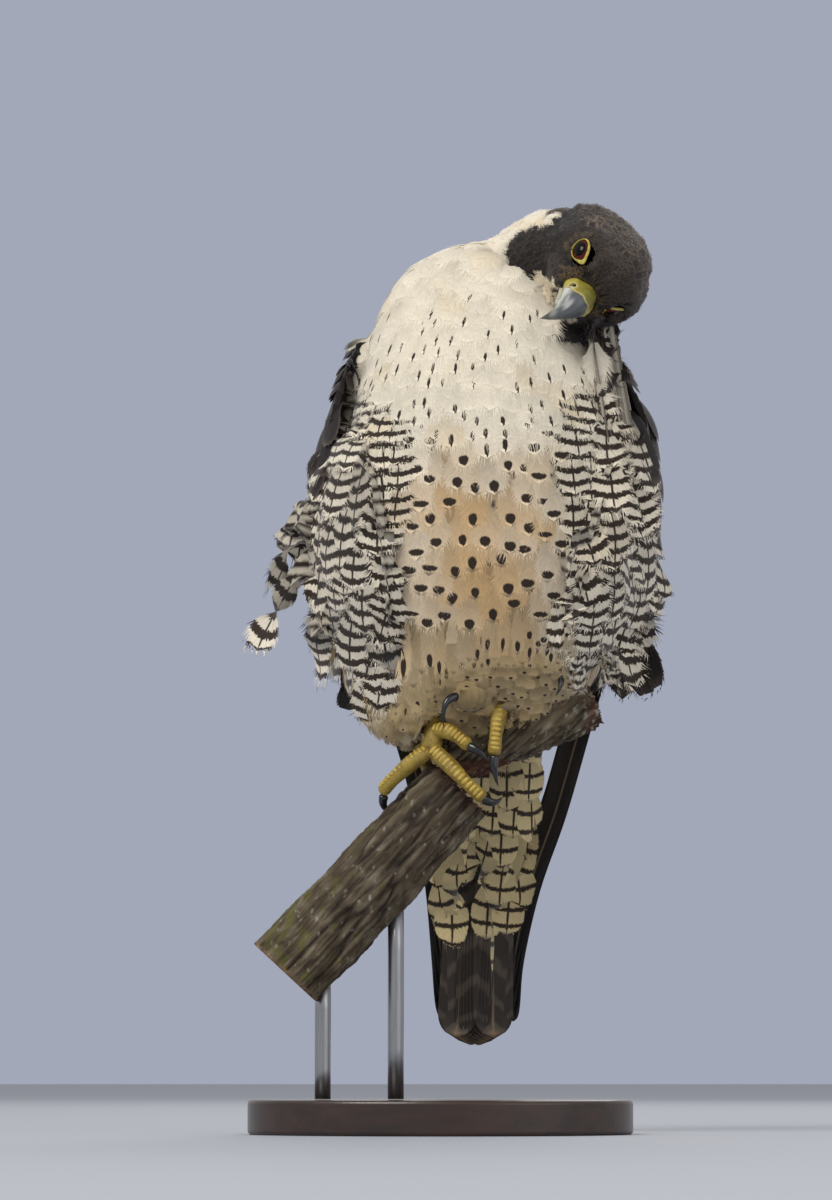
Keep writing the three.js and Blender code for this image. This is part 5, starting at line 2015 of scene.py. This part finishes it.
@dataclass
class Stand:
    """The plain display stand: an oval plate of stained wood and two steel rods."""

    length: float = 190.0
    depth: float = 132.0
    height: float = 17.0
    edge: float = 2.0
    rod_radius: float = 4.0
    clear: float = 0.3  # between a rod and the plate
    hidden: float = 22.0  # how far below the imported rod's top this one ends, inside the wood
    rods: tuple[tuple[str, float, float], ...] = (("stand_rod_1", -58.0, 98.0), ("stand_rod_2", -22.0, 137.0))

    def build(self) -> None:
        """Makes the plate and the rods."""
        finish = {"coat": 0.4, "stretch": (8.0, 1.0, 1.0)}
        wood = Mottled("stained_beech", "#3a2419", "#24150e", 9, 1.2, 0.06, 0.38, **finish)
        steel = self.steel()
        placed(self.plate(wood.made()), "stand_wood", "stand_base")
        for name, x, top in self.rods:
            placed(solid(name + "_turned", self.rod(x, top), steel), "stand_steel", name)

    def plate(self, material: Material) -> Object:
        """Returns the oval plate with a rounded edge."""
        columns = 144
        angle = np.linspace(0, 2 * np.pi, columns, endpoint=False)
        rings = []
        for middle, sign in ((self.edge, -1), (self.height - self.edge, 1)):
            for turn in np.linspace(0, np.pi / 2, 6)[::-sign]:
                inset = self.edge * (1 - math.sin(turn))
                x = (self.length / 2 - inset) * np.cos(angle)
                y = (self.depth / 2 - inset) * np.sin(angle)
                z = middle + sign * self.edge * math.cos(turn)
                rings.append(np.stack([x, y, np.full(columns, z)], 1))
        points = np.vstack([*rings, [[0, 0, 0]], [[0, 0, self.height]]])
        faces = quads(len(rings), columns)
        under, over = len(points) - 2, len(points) - 1
        top = (len(rings) - 1) * columns
        for i in range(columns):
            j = (i + 1) % columns
            faces.append((under, j, i))
            faces.append((over, top + i, top + j))
        return solid("stand_plate", Shape(points, faces), material, smooth=False)

    def rod(self, x: float, top: float) -> Shape:
        """Returns one rod, up to where it enters the wood."""
        r = self.rod_radius - 0.02
        heights = np.linspace(self.height + self.clear, top - self.hidden, 3)
        rows = [(x, 0, z, r, r) for z in heights]
        return tube(rows, X_AXIS, 48, 4, flat=True)

    @staticmethod
    def steel() -> Material:
        """Steel rod, ground lengthwise: a satin metal with fine lines along it."""
        material, tree, shader = surface("ground_steel", Metallic=1.0, Roughness=0.32)
        place = add(tree, "ShaderNodeTexCoord")
        drawn = {"Vector": place.outputs["Object"], "Scale": (1.0, 1.0, 0.03)}
        mapped = add(tree, "ShaderNodeMapping", drawn)
        lines = add(tree, "ShaderNodeTexNoise", {"Vector": mapped, "Scale": 1 / (0.5 * MM), "Detail": 2.0})
        both = {0: lines, 6: rgba("#8f9194"), 7: rgba("#b3b5b8")}
        shade = add(tree, "ShaderNodeMix", both, data_type="RGBA")
        feed(tree, shader, {"Base Color": shade})
        return material


# Loose locks of the flanks


@dataclass
class FlankLocks:
    """The long barred feathers that hang loose outside the wings and give the flanks their ragged outline."""

    markings: Markings
    left: list[tuple[tuple[float, ...], tuple[float, ...], float]] = field(
        default_factory=lambda: [
            ((94, -6, 304), (97, 0, 262), 20), ((88, -14, 292), (90, -4, 250), 20),
            ((78, -26, 278), (77, -14, 236), 22), ((62, -40, 266), (64, -28, 230), 22),
        ]
    )
    right: list[tuple[tuple[float, ...], tuple[float, ...], float]] = field(
        default_factory=lambda: [
            ((-48, -16, 336), (-66, -12, 308), 16), ((-50, -18, 318), (-66, -12, 284), 18),
            ((-46, -24, 298), (-60, -14, 258), 20), ((-34, -36, 280), (-46, -24, 242), 20),
        ]
    )

    blades: int = 5  # feathers in a lock
    step: float = 3.6  # from one to the next
    bow: float = 2.5  # how far each curves outwards
    slimness: float = 0.62  # a feather's width as a share of the lock's

    def build(self) -> None:
        """Makes the loose feathers of both sides."""
        rng = np.random.default_rng(SEED + 1)
        material = FeatherVane("loose_flank_feathers", 0.85, 0.2, bars=5.4).made()
        for name, locks, outwards in (
            ("locks_right", self.right, np.array([-0.6, -0.75, 0.25])),
            ("locks_left", self.left, np.array([0.6, -0.75, 0.25])),
        ):
            lines, ups, widths = [], [], []
            out = unit(outwards)
            for root, tip, width in locks:
                start, end = np.array(root, float), np.array(tip, float)
                across = unit(np.cross(end - start, out))
                for k in range(self.blades):
                    aside = k - self.blades // 2
                    shift = across * aside * self.step + out * (rng.normal(0, 0.8) - 1.0 + 0.8 * (k % 2))
                    short = 1 - 0.09 * abs(aside) - 0.05 * rng.random()
                    begin = start - (end - start) * 0.15 + shift * 0.6
                    finish = start + (end - start) * short + shift * 1.25
                    shares = np.array([0, 1 / 3, 2 / 3, 1])[:, None]
                    bowed = out * self.bow * np.sin(np.pi * shares)
                    lines.append(begin + (finish - begin) * shares + bowed)
                    ups.append([out] * 4)
                    widths.append(width * self.slimness)
            count = len(lines)
            places = np.array(lines)
            length = np.linalg.norm(places[:, 3] - places[:, 0], axis=1)
            mark = np.tile([0, 0.95, 0, 0], (count, 1))
            mark[:, 3] = (rng.normal(0, PHASE_SPREAD, count) - places[:, 3, 2] / FLANK_PITCH) % 1
            tone = np.tile(Palette.FLANK, (count, 1)) * rng.normal(1, 0.04, (count, 1))
            coat = Plumage(tone, mark, length, np.array(widths), length)
            root_uv = 0.5 + 0.01 * rng.normal(size=(count, 2))
            bed = FeatherBed(VaneCut(44, 0.12, 0.07, 10), places, np.array(ups), coat, root_uv)
            placed(piece(name, bed.shape(rng), material), "barred_feathers")


# Room


@dataclass
class Studio:
    """A pale floor, soft lights and the camera at the photograph's angle."""

    eye_point: tuple[float, float, float] = (-0.012, -2.0, 0.03)
    target: tuple[float, float, float] = (-0.012, 0.0, 0.265)
    lens: float = 120.8
    floor_size: float = 9000.0  # from its middle to each side
    lamps: tuple[tuple[str, tuple[float, float, float], float, float], ...] = (
        ("key", (-1.1, -1.5, 2.1), 1.2, 38),
        ("fill", (1.6, -1.5, 0.9), 1.6, 7),
        ("rim", (0.4, 1.7, 1.6), 1.2, 14),
    )

    def build(self) -> None:
        """Makes the floor, the sky's light, the lamps and the camera."""
        pale, _, _ = surface("painted_floor", Roughness=0.8, Base_Color=rgba("#a9adb6"))
        square = self.floor_size * np.array([(-1, -1, 0), (1, -1, 0), (1, 1, 0), (-1, 1, 0)])
        floor = piece("floor", Shape(square, [(0, 1, 2, 3)]), pale)
        world = bpy.data.worlds.new("studio")
        bpy.context.scene.world = world
        world.use_nodes = True
        tree = world.node_tree
        path = add(tree, "ShaderNodeLightPath")
        sky = add(tree, "ShaderNodeMix", {0: path, 6: rgba("#c2c3c6"), 7: rgba("#a2a8b8")}, data_type="RGBA")
        feed(tree, tree.nodes["Background"], {"Color": sky})
        bpy.context.scene.view_settings.view_transform = "Standard"
        for lamp in self.lamps:
            self.light(*lamp)
        camera = bpy.data.cameras.new("camera")
        camera.lens = self.lens
        camera.sensor_width = 36
        camera.clip_end = 100
        bpy.context.scene.camera = self.aimed(camera, self.eye_point)

    def aimed(self, data: ID, place: tuple[float, float, float]) -> Object:
        """Puts a lamp or a camera in its place and turns it to the falcon."""
        made = shown(data.name, data)
        made.location = place
        way = Vector(self.target) - Vector(place)
        made.rotation_euler = way.to_track_quat("-Z", "Y").to_euler()
        return made

    def light(self, name: str, place: tuple[float, float, float], size: float, power: float) -> None:
        """Adds one large soft light that faces the falcon."""
        lamp = bpy.data.lights.new(name, "AREA")
        lamp.size = size
        lamp.energy = power
        lamp.color = (1.0, 0.965, 0.91)
        self.aimed(lamp, place)


def corners(box: tuple) -> list[list[float]]:
    """Turns a box to plain lists of numbers."""
    return [[float(value) for value in corner] for corner in box]


def main() -> None:
    """Builds the room and every part, in order."""
    logging.basicConfig(level=logging.INFO, format="%(message)s")
    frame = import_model()
    Studio().build()
    bird = Bird(frame["nodes"])
    bird.build()
    FlankLocks(bird.markings).build()
    LongFeathers().build()
    Face().build()
    Feet().build()
    Perch().build()
    Stand().build()


if __name__ == "__main__":
    main()
